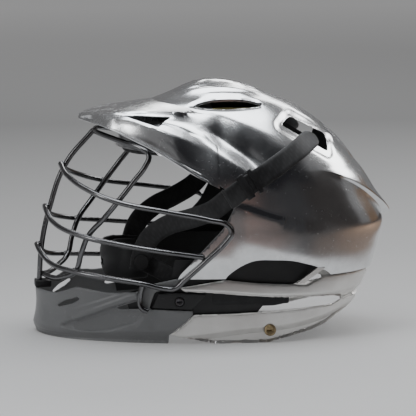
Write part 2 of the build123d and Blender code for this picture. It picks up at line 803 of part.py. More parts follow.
nut_high_y = jaw_y(jaw_screw_x, 0) - jaw_wall - strap_thickness - 5 * soft_gap
keep("jaw_nuts", both_sides(nut_at(jaw_screw_x, nut_high_y, jaw_screw_z)))
mask_nut_y = jaw_y(mask_screw_x, mask_screw_z) - jaw_wall - mount_inset - 3 * soft_gap
keep("mask_nuts", both_sides(nut_at(mask_screw_x, mask_nut_y, mask_screw_z)))

# the visor's screw points up into the bill from below, with its head inside
head_top = 0.9035 * dome_height
head_low = head_top - visor_screw_head_height
visor_head = rod((visor_screw_x, 0, head_low), (visor_screw_x, 0, head_top), visor_screw_head_r)
shank_end = (visor_screw_x, 0, head_top + 0.9 * visor_wall)
visor_shank = rod((visor_screw_x, 0, head_top), shank_end, screw_shank_r)
keep("visor_screw", visor_head + visor_shank)

clip_low = chin_top_front_z + joint_gap / 2
clip = box((-0.99 * jaw_front_reach, -clip_half_width, clip_low),
           (-0.90 * jaw_front_reach, clip_half_width, clip_low + clip_height))
keep("mask_chin_clip", fillet(clip.edges(), clip_edge_r))


# Straps: flat webbing

def ribbon(stations, width, thickness):
    """Flat webbing through stations of (centre, width direction), as a loft of rectangles."""
    outlines = []
    for index, (centre, width_way) in enumerate(stations):
        before = stations[max(index - 1, 0)][0]
        after = stations[min(index + 1, len(stations) - 1)][0]
        along = (after - before).normalized()
        normal = width_way.cross(along).normalized()
        half = along.cross(normal).normalized() * (width / 2)
        lift = normal * (thickness / 2)
        corners = [centre - half - lift, centre + half - lift, centre + half + lift, centre - half + lift]
        outlines.append(Polyline(corners, close=True).wire())
    return Solid.make_loft(outlines, True)


strap_low = Vector(temple_x - 0.05 * strap_width, 0, temple_z + 0.58 * strap_width)
strap_high = Vector(0.505 * rear_reach, 0, 0.814 * dome_height)
strap_way = (strap_high - strap_low).normalized()
strap_across = Vector(-strap_way.Z, 0, strap_way.X)
slider_share = 0.264
keeper_share = 0.137


def on_crown(share):
    """A strap station on the outside of the crown, with its width lying on the shell."""
    place = strap_low + (strap_high - strap_low) * share
    normal = crown_normal(place.X, place.Z)
    y = crown_y(place.X, place.Z)
    centre = Vector(place.X, y, place.Z) + normal * (strap_lift + strap_thickness / 2)
    return centre, normal.cross(strap_way).normalized() * -1


snap_stack_y = cup_half_width + cup_boss_rise + soft_gap
lower_tab_y = snap_stack_y + strap_thickness / 2
upper_tab_y = lower_tab_y + strap_thickness + 2 * soft_gap
edge_x, edge_z = temple_x - 0.24 * strap_width, temple_z + 0.42 * strap_width
edge_centre = Vector(edge_x, crown_y(edge_x, edge_z) - shell_wall / 2, edge_z)
wrap_r = shell_wall / 2 + wrap_clearance + strap_thickness / 2
cup_way = Vector(0.84, 0, 0.54)
straight_way = on_crown(sum(straight_shares) / 2)[1]


def upper_strap():
    outward = Vector(0, 1, 0)
    wrap = []
    for degrees in (130, 105, 80, 55, 30, 8):
        angle = math.radians(degrees)
        centre = edge_centre + outward * (wrap_r * math.cos(angle)) - strap_way * (wrap_r * math.sin(angle))
        wrap.append((centre, straight_way))
    straight = [(on_crown(share)[0], straight_way) for share in straight_shares]
    tail = [on_crown(share) for share in tail_shares]
    tab = Vector(snap_x, upper_tab_y, snap_z)
    inside = [(tab - cup_way * snap_head_r, strap_across), (tab + cup_way * snap_head_r, strap_across),
              (tab + cup_way * 2 * snap_head_r + outward * 0.32 * strap_width, strap_across)]
    stations = [*inside, *wrap, *straight, *tail]
    strap = ribbon(stations, strap_width, strap_thickness)
    end, end_way = tail[-1]
    normal = end_way.cross((end - tail[-2][0]).normalized()).normalized()
    tip_plane = Plane(origin=end - normal * (strap_thickness / 2), z_dir=normal)
    tip = Solid.make_cylinder(strap_width / 2, strap_thickness, tip_plane)
    hole = rod((snap_x, 0, snap_z), (snap_x, half_width, snap_z), snap_shank_r + running_clearance)
    return (strap + tip) - hole


def lower_strap():
    tab_way = Vector(1, 0, -0.50).normalized()
    across_way = Vector(0.50, 0, 1).normalized()
    start = Vector(snap_x, lower_tab_y, snap_z)
    tab = []
    for reach in (-snap_head_r, snap_head_r):
        x, z = jaw_screw_x + reach * tab_way.X, jaw_screw_z + reach * tab_way.Z
        y = jaw_y(x, z - 0.5 * lower_strap_width) - jaw_wall - 2 * soft_gap - strap_thickness / 2
        tab.append((Vector(x, y, z), across_way))
    before_tab = tab[0][0] - tab_way * 1.2 * snap_head_r - Vector(0, 2 * strap_thickness, 0)
    stations = [(start - tab_way * snap_head_r, across_way), (start + tab_way * snap_head_r, across_way),
                (start + tab_way * 2.4 * snap_head_r, across_way), (before_tab, across_way), *tab]
    strap = ribbon(stations, lower_strap_width, strap_thickness)
    cup_hole = rod((snap_x, 0, snap_z), (snap_x, half_width, snap_z), snap_shank_r + running_clearance)
    jaw_hole = rod((jaw_screw_x, 0, jaw_screw_z), (jaw_screw_x, half_width, jaw_screw_z),
                   screw_shank_r + running_clearance)
    return strap.cut(cup_hole, jaw_hole)


def frame_round_strap(share, length, wall, clearance):
    """A rectangular ring round the outer strap, such as its keeper or slider."""
    low_share, high_share = straight_shares
    low, high = on_crown(low_share)[0], on_crown(high_share)[0]
    along = (high - low).normalized()
    centre = low + (high - low) * ((share - low_share) / (high_share - low_share))
    plane = Plane(origin=centre - along * (length / 2), x_dir=straight_way, z_dir=along)
    outer_lift = strap_thickness + 2 * wall
    with BuildSketch(plane) as ring:
        Rectangle(strap_width + 2 * wall + 2 * clearance, outer_lift)
        Rectangle(strap_width + 2 * clearance, strap_thickness + 2 * clearance, mode=Mode.SUBTRACT)
    return Solid.extrude(ring.sketch.faces()[0], along * length)


right_strap = upper_strap()
keep("strap_right", right_strap)
keep("strap_left", mirrored(right_strap))
right_lower_strap = lower_strap()
keep("lower_strap_right", right_lower_strap)
keep("lower_strap_left", mirrored(right_lower_strap))
slider = frame_round_strap(slider_share, slider_length, slider_wall, slider_clearance)
crown_clear = egg_loft(inset_levels(dome_levels(), -soft_gap), egg_power)
keep("strap_slider_right", slider - crown_clear)
keep("strap_slider_left", mirrored(slider - crown_clear))
keeper = frame_round_strap(keeper_share, keeper_length, keeper_wall, slider_clearance) - crown_clear
keep("strap_keeper_right", keeper)
keep("strap_keeper_left", mirrored(keeper))


# Chin cup, its pad and the snaps that hold both straps

def cup_outline(z, front, width, inset):
    """Half an ellipse in front with straight sides behind it."""
    half = width - inset
    nose = front + inset
    side_x = cup_rear_x - 0.35 * (cup_rear_x - cup_front_x)
    arc = EllipticalCenterArc((side_x, 0, z), side_x - nose, half, start_angle=90, arc_size=180)
    a, b = arc @ 0, arc @ 1
    back_a, back_b = Vector(cup_rear_x, a.Y, z), Vector(cup_rear_x, b.Y, z)
    return Wire([arc, Line(b, back_b), Line(back_b, back_a), Line(back_a, a)])


def cup_form(inset, reach=0.0):
    height = cup_top_z - cup_low_z
    rows = [(cup_low_z - reach, cup_front_x + 0.14 * height, 0.90),
            (cup_low_z + 0.4 * height, cup_front_x, 1.0),
            (cup_top_z + reach, cup_front_x + 0.08 * height, 0.97)]
    return Solid.make_loft([cup_outline(z, front, cup_half_width * share, inset) for z, front, share in rows])


def cup_trim():
    """The cup is deep in front and low at its sides."""
    height = cup_top_z - cup_low_z
    return side_prism([
        (cup_front_x - overrun, cup_low_z), (cup_rear_x + overrun, cup_low_z + 0.20 * height),
        (cup_rear_x + overrun, cup_low_z + 0.78 * height),
        (lerp(cup_front_x, cup_rear_x, 0.5), cup_low_z + 0.88 * height),
        (cup_front_x - overrun, cup_top_z)], far)


def hollow_cup(outer_inset, inner_inset):
    rear_opening = box((cup_rear_x - cup_wall, -half_width, 0),
                       (cup_rear_x + overrun, half_width, dome_height))
    return (cup_form(outer_inset) & cup_trim()).cut(cup_form(inner_inset, cup_wall), rear_opening)


cup_slot = box((cup_front_x - overrun, -0.3 * cup_half_width, lerp(cup_low_z, cup_top_z, 0.36)),
               (cup_front_x + overrun, 0.3 * cup_half_width, lerp(cup_low_z, cup_top_z, 0.50)))
boss_r = snap_head_r
boss_top_y = snap_stack_y - soft_gap
boss = rod((snap_x, cup_half_width - 1.5 * cup_wall, snap_z), (snap_x, boss_top_y, snap_z), boss_r)
cup_core = cup_form(cup_wall, cup_wall)
cup = hollow_cup(0, cup_wall) + (boss - cup_core) + (mirrored(boss) - cup_core) - cup_slot
keep("chin_cup", cup)
cup_pad = hollow_cup(cup_wall + liner_gap, cup_wall + liner_gap + cup_pad_thickness)
keep("chin_cup_pad", cup_pad)
snap_top = upper_tab_y + strap_thickness / 2 + soft_gap
snap_shank = rod((snap_x, boss_top_y, snap_z), (snap_x, snap_top, snap_z), snap_shank_r)
snap_head = rod((snap_x, snap_top, snap_z), (snap_x, snap_top + snap_head_height, snap_z), snap_head_r)
snap_head = fillet(snap_head.edges().group_by(Axis.Y)[-1], snap_head_height * 0.5)
keep("cup_snaps", both_sides(snap_shank + snap_head))


# Liner pads, each a piece of a band inside the shells

def egg_band(levels, low_z, high_z, inset, thickness, front_power):
    outer = band_levels(levels, low_z, high_z)
    inner = past_ends(inset_levels(outer, inset + thickness))
    body = Solid.make_loft([egg_outline(*level, front_power) for level in inset_levels(outer, inset)], True)
    return body - Solid.make_loft([egg_outline(*level, front_power) for level in inner], True)


pad_inset = liner_gap
crown_levels = inside_levels
brow_low_z, brow_top_z = brow_z - brow_pad_drop, brow_z + brow_pad_rise
brow = egg_band(crown_levels, brow_low_z, brow_top_z, pad_inset, pad_thickness, egg_power)
brow_half_width = 0.72 * half_width
brow_space = box((-2 * front_reach, -brow_half_width, 0), (-0.30 * front_reach, brow_half_width, dome_height))
keep("brow_pad", brow & brow_space)
sides = egg_band(crown_levels, 0.451 * dome_height, 0.708 * dome_height, pad_inset, pad_thickness, egg_power)
side_pad = sides & box((temple_x + side_pad_setback, 0, 0), (0.60 * rear_reach, half_width, dome_height))
keep("side_pad_right", side_pad)
keep("side_pad_left", mirrored(side_pad))
shell_inside = egg_loft(inset_levels(inside_levels, seat_gap), egg_power)
rear = egg_band(crown_levels, 0.496 * dome_height, 0.685 * dome_height, pad_inset, pad_thickness, egg_power)
rear_space = box((0.64 * rear_reach, -0.6 * half_width, 0), (2 * rear_reach, 0.6 * half_width, dome_height))
keep("rear_pad", (rear & rear_space) & shell_inside)
foam_low_z, foam_top_z = 0.805 * dome_height, 0.9465 * dome_height
crown_foam = egg_band(crown_levels, foam_low_z, foam_top_z, 3.5 * pad_inset, foam_thickness, egg_power)
front_gap = box((-2 * front_reach, -half_width, 0), (-0.26 * front_reach, half_width, dome_height))
rear_gap = box((0.36 * rear_reach, -half_width, 0), (2 * rear_reach, half_width, dome_height))
keep("crown_foam", crown_foam.cut(front_gap, rear_gap))
jaw_pad_inset = jaw_wall + liner_gap
jaw_band = egg_band(jaw_levels(), 0.52 * jaw_top_z, 0.93 * jaw_top_z, jaw_pad_inset, 0.7 * pad_thickness,
                    jaw_front_power)
jaw_pad = jaw_band & box((-0.08 * jaw_front_reach, 0, 0), (0.62 * half_width, half_width, jaw_top_z))
keep("jaw_pad_right", jaw_pad)
keep("jaw_pad_left", mirrored(jaw_pad))


# Rear fit system: the dial turns and draws the cradle forward

def cradle_band(low_r, high_r, low_z, high_z):
    centre_x = cradle_rear_x - cradle_bend_r
    low, high = (centre_x, 0, low_z), (centre_x, 0, high_z)
    ring = rod(low, high, high_r) - rod(low, high, low_r)
    return ring & box((centre_x, -cradle_half_width, low_z), (2 * rear_reach, cradle_half_width, high_z))


band = cradle_band(cradle_bend_r - cradle_wall, cradle_bend_r, cradle_low_z, cradle_low_z + cradle_height)
window_front_x, window_rear_x = cradle_rear_x - overrun, 2 * rear_reach
window_low_z, window_top_z = cradle_low_z + 0.32 * cradle_height, cradle_low_z + 0.68 * cradle_height
band_window = side_prism([(window_front_x, window_low_z), (window_rear_x, window_low_z),
                          (window_rear_x, window_top_z), (window_front_x, window_top_z)],
                         0.24 * cradle_half_width, radius=cradle_window_corner_r)
rod_root_x = cradle_rear_x - cradle_bend_r + math.sqrt((cradle_bend_r - cradle_wall / 2) ** 2 - guide_y ** 2)
guide_low_x = cradle_rear_x + guide_setback
rod_end_x = guide_low_x + guide_rod_reach
guide_rod = rod((rod_root_x, guide_y, dial_z), (rod_end_x, guide_y, dial_z), guide_rod_r)
keep("occipital_cradle", (band - band_window) + guide_rod + mirrored(guide_rod))
pad_outer_r = cradle_bend_r - cradle_wall - liner_gap
keep("occipital_pad", cradle_band(pad_outer_r - cradle_pad_thickness, pad_outer_r, cradle_low_z,
                                  cradle_low_z + cradle_height))
half_block = guide_block / 2
block = box((guide_low_x, guide_y - half_block, dial_z - half_block),
            (2 * rear_reach, guide_y + half_block, dial_z + half_block))
bore_end = (rod_end_x + guide_travel, guide_y, dial_z)
guide_bore = rod((0, guide_y, dial_z), bore_end, guide_rod_r + running_clearance)
keep("fit_guides", both_sides((block & shell_inside) - guide_bore))
half_thickness = dial_thickness / 2
base = rod((dial_x + half_thickness + joint_gap, 0, dial_z), (2 * rear_reach, 0, dial_z), dial_base_r)
shaft_end_x = dial_x + half_thickness + dial_shaft_reach
bore = rod((dial_x, 0, dial_z), (shaft_end_x + joint_gap, 0, dial_z), dial_shaft_r + running_clearance)
keep("fit_dial_base", (base & shell_inside) - bore)
wheel = rod((dial_x - half_thickness, 0, dial_z), (dial_x + half_thickness, 0, dial_z), dial_r)
grips = []
for index in range(dial_grips):
    angle = math.tau * index / dial_grips
    y, z = dial_r * math.cos(angle), dial_z + dial_r * math.sin(angle)
    grips.append(rod((dial_x - dial_thickness, y, z), (dial_x + dial_thickness, y, z), dial_grip_r))
wheel = wheel.cut(*grips) + rod((dial_x, 0, dial_z), (shaft_end_x, 0, dial_z), dial_shaft_r)
keep("fit_dial", wheel)
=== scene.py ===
"""Lacrosse helmet with a wire face mask: its finished surfaces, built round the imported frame."""

import logging
import math
from dataclasses import dataclass, field
from enum import Enum
from typing import Callable, Iterable, Optional, Sequence, Union

import bpy
from mathutils import Matrix, Vector, noise


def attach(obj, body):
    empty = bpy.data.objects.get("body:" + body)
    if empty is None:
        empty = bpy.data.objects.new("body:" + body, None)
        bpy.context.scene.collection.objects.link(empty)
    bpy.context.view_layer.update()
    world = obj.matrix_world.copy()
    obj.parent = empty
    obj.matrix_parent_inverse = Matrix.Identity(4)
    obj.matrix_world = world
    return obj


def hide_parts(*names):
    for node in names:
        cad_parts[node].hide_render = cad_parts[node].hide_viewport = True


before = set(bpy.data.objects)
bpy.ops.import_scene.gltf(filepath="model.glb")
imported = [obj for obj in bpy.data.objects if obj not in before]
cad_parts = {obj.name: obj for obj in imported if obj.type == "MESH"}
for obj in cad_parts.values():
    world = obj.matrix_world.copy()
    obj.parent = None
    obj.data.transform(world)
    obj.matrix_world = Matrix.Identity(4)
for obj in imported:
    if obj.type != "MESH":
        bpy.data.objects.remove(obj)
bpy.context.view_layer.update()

logging.basicConfig(level=logging.INFO, format="%(message)s")
log = logging.getLogger("helmet")

MM = 0.001
MERGE_REACH = 0.00001
Piece = bpy.types.Object
Row = Sequence[float]
Point = Union[Vector, Sequence[float]]


class Side(Enum):
    """The wearer's two sides, by the sign of Y."""

    RIGHT = 1
    LEFT = -1

    @property
    def word(self) -> str:
        """The side's name in piece names."""
        return self.name.lower()


class Slot(Enum):
    """Material slots of the record."""

    CHROME = "chromed_shell"
    SILVER = "silver_band"
    GREY = "grey_guard"
    WIRE = "mask_wire"
    BLACK = "black_moulding"
    DARK_METAL = "dark_fastener"
    BRASS = "brass_fastener"
    WEBBING = "webbing"
    LINER = "liner_foam"
    OLIVE = "olive_foam"
    DIAL = "dial_moulding"


# Number helpers


def smooth_step(low: float, high: float, value: float) -> float:
    """A smooth rise from 0 at low to 1 at high."""
    share = min(max((value - low) / (high - low), 0.0), 1.0)
    return share * share * (3 - 2 * share)


def plateau(ends: Row, value: float) -> float:
    """A smooth rise from 0 to 1 over the first two of four values, and a fall over the last two."""
    return smooth_step(ends[0], ends[1], value) * (1 - smooth_step(ends[2], ends[3], value))


def scaled(outline: Sequence[Row]) -> list[tuple[float, float]]:
    """An outline given in millimetres."""
    return [(x * MM, z * MM) for x, z in outline]


def along(rows: Sequence[Row], place: float) -> tuple[float, ...]:
    """A smooth curve through rows of values, read at a place in the first column.

    Args:
        rows: Rows of (place, value, ...), sorted by place.
        place: Where to read the curve.

    Returns:
        The values at that place, without the place itself.
    """
    if place <= rows[0][0]:
        return tuple(rows[0][1:])
    if place >= rows[-1][0]:
        return tuple(rows[-1][1:])
    index = next(i for i in range(len(rows) - 1) if rows[i][0] <= place <= rows[i + 1][0])
    before, low = rows[max(index - 1, 0)], rows[index]
    high, after = rows[index + 1], rows[min(index + 2, len(rows) - 1)]
    span = high[0] - low[0]
    t = (place - low[0]) / span
    values = []
    for column in range(1, len(low)):
        slope_low = (high[column] - before[column]) / (high[0] - before[0])
        slope_high = (after[column] - low[column]) / (after[0] - low[0])
        values.append((2 * t ** 3 - 3 * t ** 2 + 1) * low[column] + (t ** 3 - 2 * t ** 2 + t) * span * slope_low
                      + (3 * t ** 2 - 2 * t ** 3) * high[column] + (t ** 3 - t ** 2) * span * slope_high)
    return tuple(values)


def spread(low: float, high: float, step: float) -> list[float]:
    """Even places from low to high, about a step apart, with both ends."""
    count = max(1, round(abs(high - low) / step))
    return [low + (high - low) * i / count for i in range(count + 1)]


def rounded(corners: Sequence[Row], radius: float, steps: int = 5) -> list[tuple[float, float]]:
    """A closed outline with its corners rounded.

    Args:
        corners: Corner points of the outline.
        radius: How far from each corner the rounding starts.
        steps: Points on each rounding, less one.

    Returns:
        The points of the rounded outline.
    """
    points = []
    for index, corner in enumerate(corners):
        here = Vector(corner)
        before, after = Vector(corners[index - 1]), Vector(corners[(index + 1) % len(corners)])
        start = here + (before - here).normalized() * min(radius, (before - here).length * 0.45)
        end = here + (after - here).normalized() * min(radius, (after - here).length * 0.45)
        for step in range(steps + 1):
            t = step / steps
            place = start * (1 - t) ** 2 + here * (2 * t * (1 - t)) + end * t ** 2
            points.append((place.x, place.y))
    return points


def outside_distance(outline: Sequence[Row], x: float, z: float) -> float:
    """Distance from a place to an outline, or 0 inside it.

    Args:
        outline: Corners of a closed outline.
        x: First coordinate of the place.
        z: Second coordinate of the place.

    Returns:
        The distance, in the outline's own unit.
    """
    inside, nearest = False, math.inf
    for index, (bx, bz) in enumerate(outline):
        ax, az = outline[index - 1]
        if (az > z) != (bz > z) and x < (bx - ax) * (z - az) / (bz - az) + ax:
            inside = not inside
        run_x, run_z = bx - ax, bz - az
        share = min(max(((x - ax) * run_x + (z - az) * run_z) / (run_x ** 2 + run_z ** 2), 0.0), 1.0)
        nearest = min(nearest, math.hypot(x - ax - run_x * share, z - az - run_z * share))
    return 0.0 if inside else nearest


# Modelling helpers


def deselect() -> None:
    """Leaves nothing selected, so that an operator acts on new work alone."""
    for other in list(bpy.context.selected_objects):
        other.select_set(False)


def only(piece: Piece) -> None:
    """Selects one object alone and makes it active."""
    deselect()
    piece.select_set(True)
    bpy.context.view_layer.objects.active = piece


def named(name: str) -> Piece:
    """The object that the last operator made, under its own name."""
    piece = bpy.context.active_object
    piece.name = name
    piece.data.name = name
    return piece


def in_edit_mode(piece: Piece, *steps: Callable[[], object]) -> None:
    """Runs operators on everything in a mesh.

    Args:
        piece: The mesh object to work on.
        steps: Calls to run, in order, with the whole mesh selected.
    """
    only(piece)
    bpy.ops.object.mode_set(mode="EDIT")
    bpy.ops.mesh.select_all(action="SELECT")
    for step in steps:
        step()
    bpy.ops.object.mode_set(mode="OBJECT")


def merge() -> None:
    """Merges the selected points that lie together, in edit mode."""
    bpy.ops.mesh.remove_doubles(threshold=MERGE_REACH)


def weld(piece: Piece) -> None:
    """Merges points that lie together and turns all faces outwards."""
    in_edit_mode(piece, merge, lambda: bpy.ops.mesh.normals_make_consistent(inside=False))


def close_ends(piece: Piece) -> None:
    """Fills the open ends of a wall or tube and turns its faces outwards."""
    in_edit_mode(piece, lambda: bpy.ops.mesh.select_all(action="DESELECT"),
                 lambda: bpy.ops.mesh.select_mode(type="EDGE"), bpy.ops.mesh.select_non_manifold,
                 lambda: bpy.ops.mesh.fill_holes(sides=0), lambda: bpy.ops.mesh.select_mode(type="VERT"))
    weld(piece)


def modify(piece: Piece, kind: str, **settings: object) -> None:
    """Adds a modifier with its settings and applies it."""
    only(piece)
    modifier = piece.modifiers.new(kind.title(), kind)
    for name, value in settings.items():
        setattr(modifier, name, value)
    bpy.ops.object.modifier_apply(modifier=modifier.name)


def smooth(piece: Piece, angle: float = 30.0) -> None:
    """Shades a piece smooth, with edges over an angle left sharp."""
    only(piece)
    bpy.ops.object.shade_smooth_by_angle(angle=math.radians(angle))


def surface(name: str, rows: Sequence[Sequence[Point]]) -> Piece:
    """A grid primitive shaped to rows of points, each with as many as the first."""
    deselect()
    bpy.ops.mesh.primitive_grid_add(x_subdivisions=len(rows[0]) - 1, y_subdivisions=len(rows) - 1, size=1)
    piece = named(name)
    piece.data.vertices.foreach_set("co", [value for row in rows for point in row for value in point])
    piece.data.update()
    return piece


def prism(name: str, outline: Sequence[Row], low: float, high: float) -> Piece:
    """An XZ outline drawn out along Y, to cut with."""
    deselect()
    bpy.ops.mesh.primitive_circle_add(vertices=len(outline), fill_type="NGON")
    piece = named(name)
    for vertex, (x, z) in zip(piece.data.vertices, outline):
        vertex.co = (x, low, z)
    in_edit_mode(piece, lambda: bpy.ops.mesh.extrude_region_move(
        TRANSFORM_OT_translate={"value": (0, high - low, 0)}),
        lambda: bpy.ops.mesh.select_all(action="SELECT"),
        lambda: bpy.ops.mesh.normals_make_consistent(inside=False))
    return piece


def upright(name: str, outline: Sequence[Row], low: float, high: float) -> Piece:
    """An XY outline drawn out along Z, to cut with."""
    piece = prism(name, outline, low, high)
    piece.data.transform(Matrix(((1, 0, 0, 0), (0, 0, 1, 0), (0, 1, 0, 0), (0, 0, 0, 1))))
    weld(piece)
    return piece


def mirror_copy(piece: Piece, name: str) -> Piece:
    """A copy on the other side, with its own mesh."""
    copy = piece.copy()
    copy.data = piece.data.copy()
    copy.name = copy.data.name = name
    bpy.context.scene.collection.objects.link(copy)
    copy.data.transform(Matrix.Scale(-1, 4, (0, 1, 0)))
    copy.data.flip_normals()
    return copy


def joined(name: str, parts: Sequence[Piece]) -> Piece:
    """Several meshes as one piece."""
    only(parts[0])
    for part in parts:
        part.select_set(True)
    if len(parts) > 1:
        bpy.ops.object.join()
    return named(name)


def cut(piece: Piece, cutters: Sequence[Piece]) -> None:
    """Cuts shapes that don't touch each other out of a closed piece."""
    tool = joined("cutter", cutters)
    modify(piece, "BOOLEAN", operation="DIFFERENCE", solver="EXACT", object=tool)
    bpy.data.objects.remove(tool)


def keep_side(piece: Piece, place: Point, normal: Point) -> None:
    """Cuts a piece on a plane and keeps what lies behind the plane's normal."""
    in_edit_mode(piece, lambda: bpy.ops.mesh.bisect(
        plane_co=place, plane_no=normal, use_fill=True, clear_outer=True))


def soften(piece: Piece, width: float, angle: float = 40.0, segments: int = 2) -> None:
    """Rounds the edges that are sharper than an angle."""
    modify(piece, "BEVEL", width=width, segments=segments, limit_method="ANGLE",
           angle_limit=math.radians(angle), harden_normals=False)


def copy_of_node(node: str, name: str) -> Piece:
    """A merged copy of a frame node's mesh, ready for more work."""
    piece = bpy.data.objects.new(name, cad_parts[node].data.copy())
    piece.data.name = name
    piece.data.materials.clear()
    bpy.context.scene.collection.objects.link(piece)
    in_edit_mode(piece, merge)
    return piece


def moulded(piece: Piece, voxel: float, passes: int = 4) -> Piece:
    """Remeshes a solid evenly and smooths it, as a moulding's rounded edges are."""
    modify(piece, "REMESH", mode="VOXEL", voxel_size=voxel, adaptivity=0.0)
    modify(piece, "SMOOTH", factor=0.5, iterations=passes)
    return piece


def move_points(piece: Piece, shift: Callable[[Vector, Vector], Vector]) -> None:
    """Moves each point by what a function of its place and normal gives."""
    piece.data.update()
    normals = [vertex.normal.copy() for vertex in piece.data.vertices]
    for vertex, normal in zip(piece.data.vertices, normals):
        vertex.co = vertex.co + shift(vertex.co, normal)
    piece.data.update()


def rod_between(name: str, start: Point, end: Point, radius: float, sides: int = 24) -> Piece:
    """A cylinder from one point to another, with its place in its mesh."""
    start, end = Vector(start), Vector(end)
    deselect()
    bpy.ops.mesh.primitive_cylinder_add(vertices=sides, radius=radius, depth=(end - start).length)
    piece = named(name)
    turn = (end - start).to_track_quat("Z", "Y").to_matrix().to_4x4()
    piece.data.transform(Matrix.Translation((start + end) / 2) @ turn)
    return piece


def wire(name: str, points: Sequence[Point], radius: float) -> Piece:
    """Round wire through points, with closed ends, as a mesh."""
    deselect()
    bpy.ops.curve.primitive_bezier_curve_add()
    piece = named(name)
    piece.data.dimensions = "3D"
    spline = piece.data.splines[0]
    spline.bezier_points.add(len(points) - len(spline.bezier_points))
    for knot, place in zip(spline.bezier_points, points):
        knot.co = place
        knot.handle_left_type = knot.handle_right_type = "AUTO"
    piece.data.bevel_depth = radius
    piece.data.bevel_resolution = 7
    piece.data.resolution_u = 14
    piece.data.use_fill_caps = True
    only(piece)
    bpy.ops.object.convert(target="MESH")
    weld(piece)
    return piece


def across(point: Point) -> tuple[float, float, float]:
    """The same place on the helmet's other side."""
    return (point[0], -point[1], point[2])


def mm(*values: float) -> Vector:
    """A place given in millimetres."""
    return Vector(values) * MM


# Shader helpers


class Value:
    """A shader socket that takes part in Python sums."""

    def __init__(self, shader: "Shader", socket: bpy.types.NodeSocket) -> None:
        """Wraps a socket of a shader's tree."""
        self.shader = shader
        self.socket = socket

    def _sum(self, operation: str, first: object, second: object) -> "Value":
        """One Math node on two values."""
        node = self.shader.node("ShaderNodeMath", {"operation": operation}, {0: first, 1: second})
        return self.shader.out(node)

    def __add__(self, other: object) -> "Value":
        """self + other."""
        return self._sum("ADD", self, other)

    __radd__ = __add__

    def __sub__(self, other: object) -> "Value":
        """self - other."""
        return self._sum("SUBTRACT", self, other)

    def __rsub__(self, other: object) -> "Value":
        """other - self."""
        return self._sum("SUBTRACT", other, self)

    def __mul__(self, other: object) -> "Value":
        """self * other."""
        return self._sum("MULTIPLY", self, other)

    __rmul__ = __mul__


